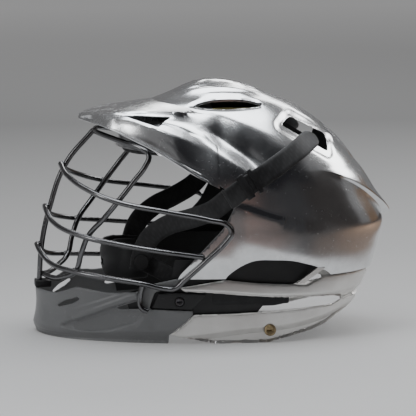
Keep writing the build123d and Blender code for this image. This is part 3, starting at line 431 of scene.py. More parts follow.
class Shader:
    """One material's node tree, with a Principled shader at its end."""

    def __init__(self, name: str) -> None:
        """Makes the material and finds its shader node."""
        self.material = bpy.data.materials.new(name)
        self.material.use_nodes = True
        self.tree = self.material.node_tree
        self.shader_node = next(n for n in self.tree.nodes if n.type == "BSDF_PRINCIPLED")

    def node(self, kind: str, settings: Optional[dict] = None, inputs: Optional[dict] = None) -> bpy.types.Node:
        """Adds a node.

        Args:
            kind: The node's type.
            settings: Its properties, or a ramp's stops under "stops".
            inputs: Values or links, by socket name or number.

        Returns:
            The new node.
        """
        made = self.tree.nodes.new(kind)
        for name, value in (settings or {}).items():
            if name == "stops":
                self._set_stops(made.color_ramp, value)
            else:
                setattr(made, name, value)
        for key, value in (inputs or {}).items():
            if isinstance(value, Value):
                self.tree.links.new(value.socket, made.inputs[key])
            else:
                made.inputs[key].default_value = value
        return made

    @staticmethod
    def _set_stops(ramp: bpy.types.ColorRamp, stops: Sequence[tuple[float, float]]) -> None:
        """Puts a grey ramp's stops in place."""
        while len(ramp.elements) < len(stops):
            ramp.elements.new(1.0)
        for element, (place, grey) in zip(ramp.elements, stops):
            element.position = place
            element.color = (grey, grey, grey, 1.0)

    def out(self, node: bpy.types.Node, name: Union[int, str] = 0) -> Value:
        """An output of a node as a value."""
        return Value(self, node.outputs[name])

    def place(self, scale: Union[float, Row] = 1.0, turn: Row = (0.0, 0.0, 0.0), uv: bool = False) -> Value:
        """Object coordinates, or the UV map, scaled and turned."""
        coordinates = self.node("ShaderNodeTexCoord")
        scale = (scale, scale, scale) if isinstance(scale, (int, float)) else tuple(scale)
        mapping = self.node("ShaderNodeMapping", {}, {
            "Vector": self.out(coordinates, "UV" if uv else "Object"), "Scale": scale, "Rotation": tuple(turn)})
        return self.out(mapping)

    def noise(self, scale: float, detail: float = 3.0, rough: float = 0.55, place: Optional[Value] = None) -> Value:
        """Noise at a scale in features per metre."""
        node = self.node("ShaderNodeTexNoise", {}, {
            "Vector": place or self.place(), "Scale": scale, "Detail": detail, "Roughness": rough})
        return self.out(node)

    def ramp(self, value: Value, *stops: tuple[float, float]) -> Value:
        """A value put through a ramp's stops."""
        return self.out(self.node("ShaderNodeValToRGB", {"stops": stops}, {"Fac": value}))

    def patches(self, scale: float, detail: float, rough: float, low: float, high: float,
                place: Optional[Value] = None) -> Value:
        """Patches of noise with soft edges: 0 up to low and 1 from high."""
        return self.ramp(self.noise(scale, detail, rough, place), (low, 0.0), (high, 1.0))

    def remap(self, value: Value, low: float, high: float) -> Value:
        """0 where a value is at low and 1 where it is at high, and never beyond."""
        return self.out(self.node("ShaderNodeMapRange", {"clamp": True}, {
            "Value": value, "From Min": low, "From Max": high, "To Min": 0.0, "To Max": 1.0}))

    def near(self, place: Vector, reach: float) -> Value:
        """1 at a place, falling to 0 at a reach from it."""
        distance = self.node("ShaderNodeVectorMath", {"operation": "DISTANCE"}, {0: self.place(), 1: tuple(place)})
        return self.remap(self.out(distance, "Value"), reach, 0.0)

    def blend(self, share: Union[Value, float], first: object, second: object) -> Value:
        """Two colours mixed by a share."""
        colours = [c if isinstance(c, Value) else (*c, 1.0) for c in (first, second)]
        node = self.node("ShaderNodeMix", {"data_type": "RGBA"}, {0: share, 6: colours[0], 7: colours[1]})
        return self.out(node, 2)

    def attribute(self, name: str) -> Value:
        """A number stored on the piece's points."""
        node = self.node("ShaderNodeAttribute", {"attribute_name": name})
        return self.out(node, "Fac")

    def axis(self, index: int) -> Value:
        """One of the object coordinates, in metres."""
        split = self.node("ShaderNodeSeparateXYZ", {}, {0: self.place()})
        return self.out(split, index)

    def set(self, **sockets: object) -> "Shader":
        """Sets the shader's sockets, by names with underscores for spaces."""
        for name, value in sockets.items():
            socket = self.shader_node.inputs[name.replace("_", " ").title().replace("Ior", "IOR")]
            if isinstance(value, Value):
                self.tree.links.new(value.socket, socket)
            else:
                socket.default_value = (*value, 1.0) if isinstance(value, tuple) else value
        return self

    def relief(self, height: Value, depth: float, strength: float = 1.0) -> None:
        """Feeds a bump of a real depth, in metres, to the shader's normal."""
        bump = self.node("ShaderNodeBump", {}, {"Height": height, "Distance": depth, "Strength": strength})
        self.set(normal=self.out(bump))


# Finishes


@dataclass(frozen=True)
class ChromeFinish:
    """Mirror plating with fine scratches, scuffs along the bill's rim and a few chips."""

    name: str = "worn_chrome"
    metal: Row = (0.80, 0.81, 0.82)
    chip: Row = (0.26, 0.13, 0.06)
    worn: Row = (0.36, 0.37, 0.38)
    chips: tuple[Row, ...] = ((106, -72, 131, 5), (110, -68, 125, 3), (143, -42, 78, 5), (124, -68, 37, 3))
    scuffed_x: Row = (-0.030, -0.120)

    def material(self) -> bpy.types.Material:
        """Builds the plating."""
        s = Shader(self.name)
        scratches = (s.patches(900, 2, 0.6, 0.60, 0.72, s.place((1.0, 1.0, 0.08), (0.5, 0.3, 0.4)))
                     + s.patches(700, 2, 0.6, 0.62, 0.74, s.place((0.06, 1.0, 1.0), (0.2, 0.9, 0.1))))
        dull = s.patches(26, 5, 0.65, 0.42, 0.78)
        speck = s.patches(420, 4, 0.7, 0.60, 0.70)
        scuff = s.remap(s.axis(0), *self.scuffed_x) * s.patches(120, 6, 0.75, 0.48, 0.66)
        chips = sum(s.near(mm(x, y, z), reach * MM) * s.noise(300, 4, 0.7) for x, y, z, reach in self.chips)
        chip_mask = s.ramp(chips, (0.26, 0.0), (0.34, 1.0))
        fine_cloud = s.patches(130, 6, 0.7, 0.45, 0.70)
        worn = s.blend(scuff * 0.45 + speck * 0.12 + dull * 0.22 + fine_cloud * 0.14, self.metal, self.worn)
        s.set(base_color=s.blend(chip_mask, worn, self.chip), metallic=1.0 - chip_mask * 0.9,
              roughness=0.17 + dull * 0.09 + scratches * 0.04 + scuff * 0.22 + speck * 0.08 + chip_mask * 0.4)
        s.relief(scratches * 0.35 + speck * 0.4 + scuff * 0.8 + s.noise(45, 2, 0.5) * 1.2, 0.00004, 0.6)
        return s.material


@dataclass(frozen=True)
class SilverFinish:
    """Satin silver plating of the jaw bands, with soft dirt."""

    name: str = "satin_silver"
    metal: Row = (0.80, 0.79, 0.77)
    dirt: Row = (0.36, 0.34, 0.31)

    def material(self) -> bpy.types.Material:
        """Builds the satin silver."""
        s = Shader(self.name)
        cloud = s.patches(30, 5, 0.6, 0.40, 0.75)
        speck = s.patches(380, 4, 0.7, 0.63, 0.70)
        grain = s.noise(1500, 2, 0.5)
        s.set(base_color=s.blend(speck * 0.15 + cloud * 0.2, self.metal, self.dirt), metallic=0.82,
              roughness=0.30 + cloud * 0.10 + speck * 0.1)
        s.relief(grain * 0.4 + speck * 0.3, 0.00001, 0.3)
        return s.material


@dataclass(frozen=True)
class PlasticFinish:
    """Moulded plastic with a fine grain, handling marks and dust."""

    name: str
    colour: Row
    worn: Row
    roughness: float = 0.45
    grain: float = 1300.0
    depth: float = 0.00005

    def material(self) -> bpy.types.Material:
        """Builds the plastic."""
        s = Shader(self.name)
        cloud = s.patches(24, 5, 0.65, 0.40, 0.80)
        marks = s.patches(500, 2, 0.6, 0.64, 0.74, s.place((0.10, 1.0, 1.0), (0.2, 0.5, 0.3)))
        grain = s.noise(self.grain, 2, 0.5)
        s.set(base_color=s.blend(cloud * 0.35 + marks * 0.35, self.colour, self.worn),
              roughness=self.roughness + cloud * 0.10 - marks * 0.05, specular_ior_level=0.45)
        s.relief(grain + marks * 0.5, self.depth, 0.6)
        return s.material


@dataclass(frozen=True)
class WireFinish:
    """Dark polished steel wire, browned by heat near its welds."""

    name: str = "mask_steel"
    metal: Row = (0.15, 0.15, 0.155)
    pale: Row = (0.22, 0.22, 0.225)
    rubbed: Row = (0.30, 0.30, 0.305)
    heat: Row = (0.12, 0.065, 0.04)

    def material(self) -> bpy.types.Material:
        """Builds the steel."""
        s = Shader(self.name)
        cloud = s.patches(60, 4, 0.6, 0.35, 0.75)
        rubbed = s.patches(340, 3, 0.65, 0.58, 0.70)
        heat = s.ramp(s.attribute("heat") * (0.55 + s.noise(420, 3, 0.6)), (0.42, 0.0), (0.95, 1.0))
        steel = s.blend(cloud * 0.5, self.metal, self.pale)
        s.set(base_color=s.blend(heat * 0.8, s.blend(rubbed * 0.35, steel, self.rubbed), self.heat),
              metallic=1.0 - heat * 0.4, roughness=0.19 + cloud * 0.06 + rubbed * 0.08 + heat * 0.25)
        s.relief(rubbed * 0.4 + heat * s.noise(900, 3, 0.6) * 1.5, 0.00003, 0.4)
        return s.material


@dataclass(frozen=True)
class WebbingFinish:
    """Flat woven nylon: ribs across, a twill slant and matted edges."""

    name: str = "black_webbing"
    thread: Row = (0.011, 0.011, 0.012)
    faded: Row = (0.085, 0.085, 0.088)
    ribs_per_metre: float = 1700.0
    twill_degrees: float = 32.0
    rubbed_place: Row = (84, 72, 186)
    rubbed_reach: float = 0.020

    def material(self) -> bpy.types.Material:
        """Builds the weave on the piece's own UV map, which is in metres."""
        s = Shader(self.name)
        turned = (0.0, 0.0, math.radians(self.twill_degrees))
        rib = s.out(s.node("ShaderNodeTexWave", {"wave_type": "BANDS", "bands_direction": "Y"}, {
            "Vector": s.place(1.0, uv=True), "Scale": self.ribs_per_metre / 20, "Distortion": 0.4, "Detail": 1.0,
            "Detail Scale": 3.0}), "Fac")
        twill = s.out(s.node("ShaderNodeTexWave", {"wave_type": "BANDS", "bands_direction": "X"}, {
            "Vector": s.place(1.0, turned, uv=True), "Scale": self.ribs_per_metre / 26, "Distortion": 0.5}), "Fac")
        fuzz = s.noise(1600, 3, 0.7)
        fade = s.patches(45, 4, 0.6, 0.40, 0.75)
        # Paler towards the two straps' loose ends, by distance from one place on each side
        rubbed = sum(s.near(mm(*p), self.rubbed_reach) for p in (self.rubbed_place, across(self.rubbed_place)))
        s.set(base_color=s.blend(fade * 0.3 + rib * twill * 0.14 + rubbed * 0.9, self.thread, self.faded),
              roughness=0.40 + fuzz * 0.2 + fade * 0.1, sheen_weight=0.25, sheen_roughness=0.4)
        s.relief(rib * 0.5 + twill * 0.5 + fuzz * 0.25, 0.00003, 0.5)
        return s.material


@dataclass(frozen=True)
class FoamFinish:
    """Closed-cell foam with a skin of small pores."""

    name: str
    colour: Row
    pale: Row

    def material(self) -> bpy.types.Material:
        """Builds the foam."""
        s = Shader(self.name)
        cells = s.out(s.node("ShaderNodeTexVoronoi", {}, {"Vector": s.place(), "Scale": 700.0}), "Distance")
        cloud = s.patches(50, 4, 0.6, 0.35, 0.75)
        s.set(base_color=s.blend(cloud * 0.6 + cells * 0.2, self.colour, self.pale),
              roughness=0.75 + cells * 0.15, sheen_weight=0.15)
        s.relief(cells + s.noise(1500, 2, 0.6) * 0.5, 0.00020, 0.7)
        return s.material


@dataclass(frozen=True)
class MetalFinish:
    """A small metal part, with tarnish in its hollows."""

    name: str
    metal: Row
    tarnish: Row
    roughness: float = 0.3

    def material(self) -> bpy.types.Material:
        """Builds the metal."""
        s = Shader(self.name)
        cloud = s.patches(260, 5, 0.7, 0.42, 0.66)
        turned = s.noise(1400, 2, 0.5)
        s.set(base_color=s.blend(cloud * 0.8, self.metal, self.tarnish), metallic=1.0 - cloud * 0.25,
              roughness=self.roughness + cloud * 0.25)
        s.relief(turned * 0.4 + cloud * 0.6, 0.00006, 0.6)
        return s.material


@dataclass
class Finishes:
    """Every finish, built once."""

    by_slot: dict[Slot, bpy.types.Material] = field(default_factory=dict)

    def __post_init__(self) -> None:
        """Builds the materials for all slots."""
        makers = {
            Slot.CHROME: ChromeFinish(), Slot.SILVER: SilverFinish(),
            Slot.GREY: PlasticFinish("grey_plastic", (0.18, 0.183, 0.186), (0.26, 0.263, 0.265), 0.34),
            Slot.WIRE: WireFinish(),
            Slot.BLACK: PlasticFinish("black_plastic", (0.012, 0.012, 0.013), (0.05, 0.05, 0.052), 0.42),
            Slot.DARK_METAL: MetalFinish("blackened_steel", (0.10, 0.10, 0.11), (0.05, 0.035, 0.025), 0.35),
            Slot.BRASS: MetalFinish("dull_brass", (0.42, 0.33, 0.19), (0.12, 0.08, 0.04), 0.34),
            Slot.WEBBING: WebbingFinish(),
            Slot.LINER: FoamFinish("black_foam", (0.012, 0.012, 0.013), (0.035, 0.035, 0.037)),
            Slot.OLIVE: FoamFinish("olive_foam", (0.24, 0.20, 0.06), (0.36, 0.31, 0.12)),
            Slot.DIAL: PlasticFinish("dial_plastic", (0.03, 0.03, 0.033), (0.08, 0.08, 0.085), 0.5),
        }
        self.by_slot = {slot: maker.material() for slot, maker in makers.items()}


@dataclass
class SubAssembly:
    """What every sub-assembly needs: the finishes and the way to finish and fasten a piece."""

    finishes: Finishes

    def dress(self, piece: Piece, *slots: Slot) -> None:
        """Gives a piece its finish, and a second one for its inside where it is given."""
        piece.data.materials.clear()
        for slot in slots:
            piece.data.materials.append(self.finishes.by_slot[slot])

    def mount(self, piece: Piece, body: str, slot: Slot, nodes: Iterable[str] = ()) -> None:
        """Fastens a finished piece to its body and hides the frame nodes that it takes the place of.

        Args:
            piece: The finished mesh object, with its materials.
            body: The body that it rides on.
            slot: The record's slot for its finish; not used.
            nodes: Frame nodes that it takes the place of.
        """
        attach(piece, body)
        nodes = list(nodes)
        if nodes:
            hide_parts(*nodes)
        log.info("%s: %d faces", piece.name, len(piece.data.polygons))

    def finish(self, piece: Piece, slot: Slot, angle: float, nodes: Iterable[str] = (),
               body: str = "helmet") -> None:
        """Dresses a piece, shades it smooth and fastens it.

        Args:
            piece: The modelled mesh object.
            slot: The record's slot for its finish.
            angle: Edges over this many degrees stay sharp.
            nodes: Frame nodes that it takes the place of.
            body: The body that it rides on.
        """
        self.dress(piece, slot)
        smooth(piece, angle)
        self.mount(piece, body, slot, nodes)


# The shells' shared forms


@dataclass(frozen=True)
class EggForm:
    """A shell made of egg-shaped levels, one above another."""

    height: float
    rear: float
    front: float
    half_width: float
    level_shares: tuple[Row, ...]
    front_power: float
    widest_x: float = 15.0 * MM
    rear_power: float = 2.3

    def level(self, z: float) -> tuple[float, float, float]:
        """Rear reach, front reach and half width at a height."""
        rear, front, width = along(self.level_shares, z / self.height)
        return rear * self.rear, front * self.front, width * self.half_width

    def end(self, rear: float, front: float, at_rear: bool) -> tuple[float, float]:
        """Reach from the widest place and power of the outline's rear or front end."""
        if at_rear:
            return rear - self.widest_x, self.rear_power
        return front + self.widest_x, self.front_power

    def place(self, z: float, angle: float, inset: float = 0.0) -> Vector:
        """A point on the shell's outside, by height and angle from the rear."""
        rear, front, width = self.level(z)
        return self.on_level(z, rear - inset, front - inset, width - inset, angle)

    def on_level(self, z: float, rear: float, front: float, width: float, angle: float) -> Vector:
        """A point on one egg-shaped outline."""
        c, s = math.cos(angle), math.sin(angle)
        reach, power = self.end(rear, front, c >= 0)
        return Vector((self.widest_x + math.copysign(abs(c) ** (2 / power), c) * reach,
                       math.copysign(abs(s) ** (2 / power), s) * width, z))

    def side_y(self, x: float, z: float, inset: float = 0.0) -> float:
        """Half width at a place along the helmet."""
        rear, front, width = self.level(z)
        reach, power = self.end(rear, front, x >= self.widest_x)
        run = min(abs(x - self.widest_x) / (reach - inset), 1.0)
        return (width - inset) * (1 - run ** power) ** (1 / power)

    def side_normal(self, x: float, z: float) -> Vector:
        """Outward direction of the right side at a place."""
        step = 1.5 * MM
        slope_x = (self.side_y(x + step, z) - self.side_y(x - step, z)) / (2 * step)
        slope_z = (self.side_y(x, z + step) - self.side_y(x, z - step)) / (2 * step)
        return Vector((-slope_x, 1, -slope_z)).normalized()


CROWN = EggForm(226 * MM, 161 * MM, 97 * MM, 102 * MM, (
    (0.177, 0.895, 1.780, 0.940), (0.272, 0.938, 1.550, 0.974), (0.330, 0.959, 1.430, 0.999),
    (0.376, 0.975, 1.330, 1.004), (0.469, 1.000, 1.180, 1.000), (0.580, 0.925, 1.070, 0.990),
    (0.699, 0.845, 0.990, 0.941), (0.797, 0.742, 0.928, 0.833), (0.885, 0.602, 0.825, 0.676),
    (0.943, 0.478, 0.680, 0.529), (0.978, 0.360, 0.515, 0.402), (1.000, 0.217, 0.289, 0.216)), front_power=2.3)
JAW = EggForm(61 * MM, 150 * MM, 170 * MM, 97 * MM, (
    (0.00, 0.827, 0.980, 0.955), (0.14, 0.850, 1.000, 0.968), (0.32, 0.880, 0.985, 0.982),
    (0.56, 0.917, 0.983, 0.995), (0.80, 0.963, 0.980, 1.000), (1.00, 1.000, 0.975, 0.995)), front_power=2.0)


@dataclass
class CrownShell(SubAssembly):
    """The chromed outer shell: ridge, side recess, spoiler lip, vents and openings."""

    wall: float = 3.0 * MM
    edge_z: float = 61.5 * MM
    column_count: int = 330
    ridge_rows: tuple[Row, ...] = ((-66, 211.0, 0.45), (-38, 225.6, 0.80), (-14, 235.8, 1.0), (5, 236.9, 1.0),
                                   (24, 233.7, 1.0), (46, 225.6, 0.84), (72, 212.0, 0.50))
    ridge_width: float = 34.0
    ridge_ends: Row = (-66, -50, 60, 72)
    ridge_steps: tuple[Row, ...] = ((0.22, 0.24, 0.38), (0.28, 0.44, 0.60), (0.30, 0.66, 0.82), (0.20, 0.86, 1.0))
    recess_most: float = 8.5
    recess_full_share: float = 0.58
    recess_ends: Row = (-26, 2, 22, 62)
    cheek_line: tuple[Row, ...] = ((15, 130.6), (49, 119), (99, 105))
    cheek_stand: float = 2.0
    cheek_ends: Row = (4, 22, 70, 102)
    cheek_heights: Row = (0, 2, 30, 60)
    groove_depth: float = 3.2
    groove_ends: Row = (96, 112, 140, 154)
    groove_sides: Row = (4, 9, 17, 32)
    rear_frame_depth: float = 1.7
    lens_frame_depth: float = 1.6
    lip_z: float = 107.0
    lip_rise: float = 0.62
    lip_rows: tuple[Row, ...] = ((99, 12.0), (113, 9.6), (131, 6.0), (149, 3.0), (160, 0.0))
    tip_x: float = 170.0
    brow_z: float = 176.0
    vent_x: float = 10.0
    vent_y: float = 44.0
    vent_length: float = 66.0
    vent_width: float = 15.0
    rear_vent_outline: tuple[Row, ...] = ((57, 199.4), (67, 206), (102, 187.8), (102, 173), (74, 189.5))

    def ridge_lift(self, x: float, y: float, z: float) -> float:
        """How far the centre ridge rises over the dome, in millimetres."""
        top, share = along(self.ridge_rows, x)
        width = self.ridge_width * share
        side = abs(y)
        profile = 1 - sum(fall * smooth_step(start * width, end * width, side)
                          for fall, start, end in self.ridge_steps)
        return max(0.0, top - z) * profile * plateau(self.ridge_ends, x)

    @classmethod
    def recess_depth(cls, x: float, z: float) -> float:
        """How deep the side is drawn in under the deck's crease, in millimetres."""
        crease = 212 - 21 * smooth_step(-15, 57, x) * smooth_step(-30, 20, x)
        foot = 177 - 0.69 * (x + 7)
        if z > crease or foot > crease - 5:
            return 0.0
        share, full = min(1.0, (crease - z) / (crease - foot)), cls.recess_full_share
        return cls.recess_most * plateau(cls.recess_ends, x) * min(1.0, share / full) * (
            1 - smooth_step(full, 1.0, share))

    @classmethod
    def side_crease(cls, x: float, z: float) -> float:
        """How far the cheek stands out under its slanted crease, in millimetres."""
        below = along(cls.cheek_line, x)[0] - z
        return cls.cheek_stand * plateau(cls.cheek_ends, x) * plateau(cls.cheek_heights, below)

    @classmethod
    def spine_groove(cls, x: float, y: float) -> float:
        """How deep the groove beside the rear spine is, in millimetres."""
        return cls.groove_depth * plateau(cls.groove_ends, x) * plateau(cls.groove_sides, abs(y))

    @classmethod
    def drawn_in(cls, p: Vector) -> Vector:
        """How far the recess and the groove draw in what lies at a place, both in millimetres."""
        depth = cls.recess_depth(p.x, p.z) + cls.spine_groove(p.x, p.y)
        return Vector((15 - p.x, -1.2 * p.y, 0)).normalized() * depth

    def frame_depth(self, x: float, y: float, z: float) -> float:
        """How deep the surface is sunk round a vent, in millimetres."""
        if x > 40 and abs(y) > 20:
            gap = outside_distance(self.rear_vent_outline, x, z)
            return self.rear_frame_depth * (1 - smooth_step(2.0, 7.0, gap))
        if abs(x - self.vent_x) < self.vent_length and z > 205:
            run = min(abs(x - self.vent_x) / (self.vent_length / 2 + 6), 1.0)
            half = (self.vent_width / 2 + 4.5) * (1 - run ** 2.4)
            beside = abs(abs(y) - self.vent_y)
            return self.lens_frame_depth * (1 - smooth_step(half - 3.5, half, beside)) * smooth_step(0, 2, half)
        return 0.0

    def point(self, z: float, angle: float, above_lip: bool, inside: bool) -> Vector:
        """A point of the shell, in metres.

        Args:
            z: Height of the row at the rear centre, in millimetres.
            angle: Angle from the rear.
            above_lip: Whether the row lies on the spoiler lip or above it.
            inside: Whether the point lies on the plain inside.

        Returns:
            The point.
        """
        base = CROWN.place(z * MM, angle) / MM
        reach = 90 if z > self.lip_z else self.lip_z - self.edge_z / MM
        fall = max(0.0, 1 - abs(z - self.lip_z) / reach)
        height = z + self.lip_rise * min(abs(base.y), 84) * fall * smooth_step(50, 85, base.x)
        p = CROWN.place(height * MM, angle, self.wall if inside else 0.0) / MM
        outward = Vector((p.x - 15, p.y * 1.2, 0)).normalized()
        p += outward * self.side_crease(p.x, height) + self.drawn_in(Vector((p.x, p.y, height)))
        if inside:
            p.z -= self.wall / MM * (height * MM / CROWN.height) ** 4
            return p * MM
        sunk = self.frame_depth(p.x, p.y, height)
        p -= outward * (0.7 * sunk)
        p.z -= 0.7 * sunk
        if above_lip:
            p.x = min(p.x + along(self.lip_rows, height)[0] * smooth_step(80, 118, p.x), self.tip_x)
        p.z += self.ridge_lift(p.x, p.y, p.z)
        return p * MM

    def rows(self, inside: bool) -> list[list[Vector]]:
        """Rings of the shell's outside or inside, from its edge to its top."""
        low, top = 0.177 * CROWN.height / MM + 1, CROWN.height / MM
        heights = [(z, False) for z in spread(low, self.lip_z - 0.5, 2.4)]
        heights += [(z, True) for z in spread(self.lip_z, 0.885 * top, 2.0)]
        heights += [(z, True) for z in spread(0.893 * top, 0.99 * top, 1.0)]
        heights += [(z, True) for z in spread(0.992 * top, top, 0.3)]
        angles = [math.tau * i / self.column_count for i in range(self.column_count + 1)]
        rows = [[self.point(z, angle, lip, inside) for angle in angles] for z, lip in heights]
        rim = rows[-1]
        flat_z = CROWN.height - (self.wall if inside else 0.0)
        middle = Vector((CROWN.widest_x, 0, flat_z))
        for share in (0.8, 0.6, 0.4, 0.2, 0.02):
            ring = []
            for place in rim:
                flat = middle.lerp(Vector((place.x, place.y, flat_z)), share) / MM
                if not inside:
                    flat.z += self.ridge_lift(flat.x, flat.y, flat.z)
                ring.append(flat * MM)
            rows.append(ring)
        return rows

    def skin(self) -> Piece:
        """The dome's outside and inside as one closed wall."""
        inner, outer = self.rows(True), self.rows(False)
        piece = surface("crown_shell_skin", [*reversed(inner), *outer])
        self.dress(piece, Slot.CHROME, Slot.BLACK)
        inner_count = len(inner) * (self.column_count + 1)
        for polygon in piece.data.polygons:
            polygon.material_index = int(max(polygon.vertices) < inner_count)
        weld(piece)
        close_ends(piece)
        modify(piece, "SMOOTH", factor=0.5, iterations=2)
        return piece

    def face_opening(self) -> Piece:
        """The opening for the face, cut right through."""
        corners = [(-194, self.brow_z), (-63, self.brow_z), (-32, self.brow_z - 12), (1, 145), (10, 129), (0, 109),
                   (-43, 63), (-43, 41.5), (-194, 41.5)]
        return prism("face_opening", rounded(scaled(corners), 6 * MM), -0.2, 0.2)

    def ear_arch(self) -> Piece:
        """The arches over the ear vents."""
        corners = [(-1, 41.5), (-1, 61.5), (14.4, 73.5), (29, 79.5), (63, 78), (88, 70.5), (104, 61.5), (104, 41.5)]
        return prism("ear_arch", rounded(scaled(corners), 9 * MM), -0.2, 0.2)

    def vents(self) -> list[Piece]:
        """The lens vents, rear side vents and spine slots on the right side."""
        half, bulge = self.vent_length / 2, self.vent_width / 2
        arc = [(math.cos(a), math.sin(a)) for a in (math.pi * i / 16 for i in range(32))]
        lens = [((self.vent_x + half * c) * MM, (self.vent_y + math.copysign(bulge * abs(s) ** 1.35, s)) * MM)
                for c, s in arc]
        rear = rounded(scaled(self.rear_vent_outline), 4 * MM)
        slot = scaled(((112, 204.5), (152, 160), (131, 138), (84, 186)))
        return [upright("lens_vent", lens, 0.19, 0.26), prism("rear_vent", rear, 0.02, 0.102),
                prism("spine_slot", slot, 0.0105, 0.017)]

    def build(self) -> None:
        """Makes the shell and fastens it."""
        piece = self.skin()
        keep_side(piece, (0, 0, self.edge_z), (0, 0, -1))
        right = self.vents()
        left = [mirror_copy(tool, tool.name + "_left") for tool in right]
        cut(piece, [self.face_opening()])
        cut(piece, [self.ear_arch()])
        cut(piece, [right[0], left[0], right[1], left[1]])
        cut(piece, [right[2], left[2]])
        soften(piece, 0.5 * MM, 55)
        smooth(piece, 32)
        self.mount(piece, "helmet", Slot.CHROME, ["crown_shell"])


@dataclass
class Visor(SubAssembly):
    """The chromed bill over the face, creased along each side."""

    wall: float = 3.0 * MM
    tip_x: float = -125.6
    rows: tuple[Row, ...] = (
        (-125.6, 6, 200.7, 5, 203.5, 205.6), (-119, 28, 200.2, 21, 205.9, 207.5), (-105, 49, 197.1, 34, 208.6, 210.2),
        (-85, 63, 188.5, 44, 211.1, 213.1), (-60, 75.6, 176, 50.4, 212, 218.1), (-35, 87.8, 161, 57.2, 211.6, 220.4),
        (-15, 95, 150.3, 59.4, 207.5, 220.4), (-4, 96, 145.0, 57.5, 206.0, 219.0))
    lip_profile: tuple[Row, ...] = (
        (0.0, 0.6), (0.03, 1.0), (0.06, 1.0), (0.075, 0.1), (0.10, 0.0), (0.115, 0.6), (0.145, 0.6),
        *((share, 0.0) for share in (0.16, 0.25, 0.35, 0.45, 0.55, 0.65, 0.75, 0.85, 0.93, 1.0)))
    shoulder: tuple[Row, ...] = ((-125.6, 5.6, 202.2), (-105, 44, 203.5), (-90, 54, 205.5), (-67, 68.5, 200.5),
                                 (-40, 80, 190.5), (-7, 88.5, 177.0))
    band_share: float = 0.30
    bow: Row = (0, 1.6, 0.8)
    hollow: Row = (0, 1.6, 3.2)
    lip: Row = (0, 0.9, 0.45)
    flush_gap: float = 0.35

    def section(self, x: float, inside: bool = False) -> list[Vector]:
        """Half an arch across the bill, from the rim up to the middle, outside or inside."""
        rim_y, rim_z, crease_y, crease_z, deck = along(self.rows, x)
        mid_y, mid_z = along(self.shoulder, x)
        rim, mid, crease = Vector((x, rim_y, rim_z)), Vector((x, mid_y, mid_z)), Vector((x, crease_y, crease_z))
        opened = smooth_step(-104, -70, x)
        band = mid.lerp(crease, self.band_share) + Vector((0, 0.8, 0.8)) * opened
        points = []
        for share, lip in self.lip_profile:
            bow = Vector(self.bow) * math.sin(math.pi * share) * opened
            points.append(rim.lerp(mid, share) + bow + Vector(self.lip) * (0 if inside else lip))
        for share in spread(0, 1, 0.25)[1:]:
            points.append(mid.lerp(band, share))
        for share in spread(0, 1, 0.1)[1:]:
            points.append(band.lerp(crease, share) - Vector(self.hollow) * math.sin(math.pi * share) * opened)
        for share in [0.02, 0.05, *spread(0.1, 1, 0.075)]:
            y = crease.y * (1 - share)
            rise = (deck - crease.z) * (1 - (y / crease.y) ** 2)
            points.append(Vector((x, y, crease.z + rise)))
        joined_share = smooth_step(-44, -8, x)
        for point in points:
            if point.z < 211 and point.y > 20:
                flush = CROWN.side_y(x * MM, point.z * MM) / MM + self.flush_gap
                flush -= CrownShell.recess_depth(x, point.z)
                point.y += (flush - point.y) * joined_share
        if not inside:
            return points
        wall, axis = min(self.wall / MM, 0.3 * (deck - rim_z)), Vector((x, 0, rim_z - 2))
        return [point - (point - axis).normalized() * wall for point in points]

    def build(self) -> None:
        """Makes the bill, cuts a vent in each side and fastens it."""
        rows = []
        for x in [*spread(self.tip_x, self.tip_x + 8, 1.0), *spread(self.tip_x + 10, -4, 2.2)]:
            half, under = self.section(x), self.section(x, True)
            ring = [*half, *[Vector(across(p)) for p in reversed(half[:-1])],
                    *[Vector(across(p)) for p in under], *reversed(under[:-1]), half[0]]
            rows.append([p * MM for p in ring])
        piece = surface("visor_skin", rows)
        self.dress(piece, Slot.CHROME, Slot.BLACK)
        columns, outer = len(rows[0]), 2 * len(half) - 1
        for polygon in piece.data.polygons:
            places = [vertex % columns for vertex in polygon.vertices]
            polygon.material_index = int(min(places) >= outer and max(places) < columns - 1)
        weld(piece)
        close_ends(piece)
        outline = rounded(scaled(((-88, 208.2), (-45, 206.8), (-58, 199.5))), 1.5 * MM)
        vent = prism("side_vent", outline, 0.040, 0.085)
        cut(piece, [vent, mirror_copy(vent, "side_vent_left")])
        soften(piece, 0.6 * MM, 50)
        smooth(piece, 28)
        self.mount(piece, "helmet", Slot.CHROME, ["visor"])


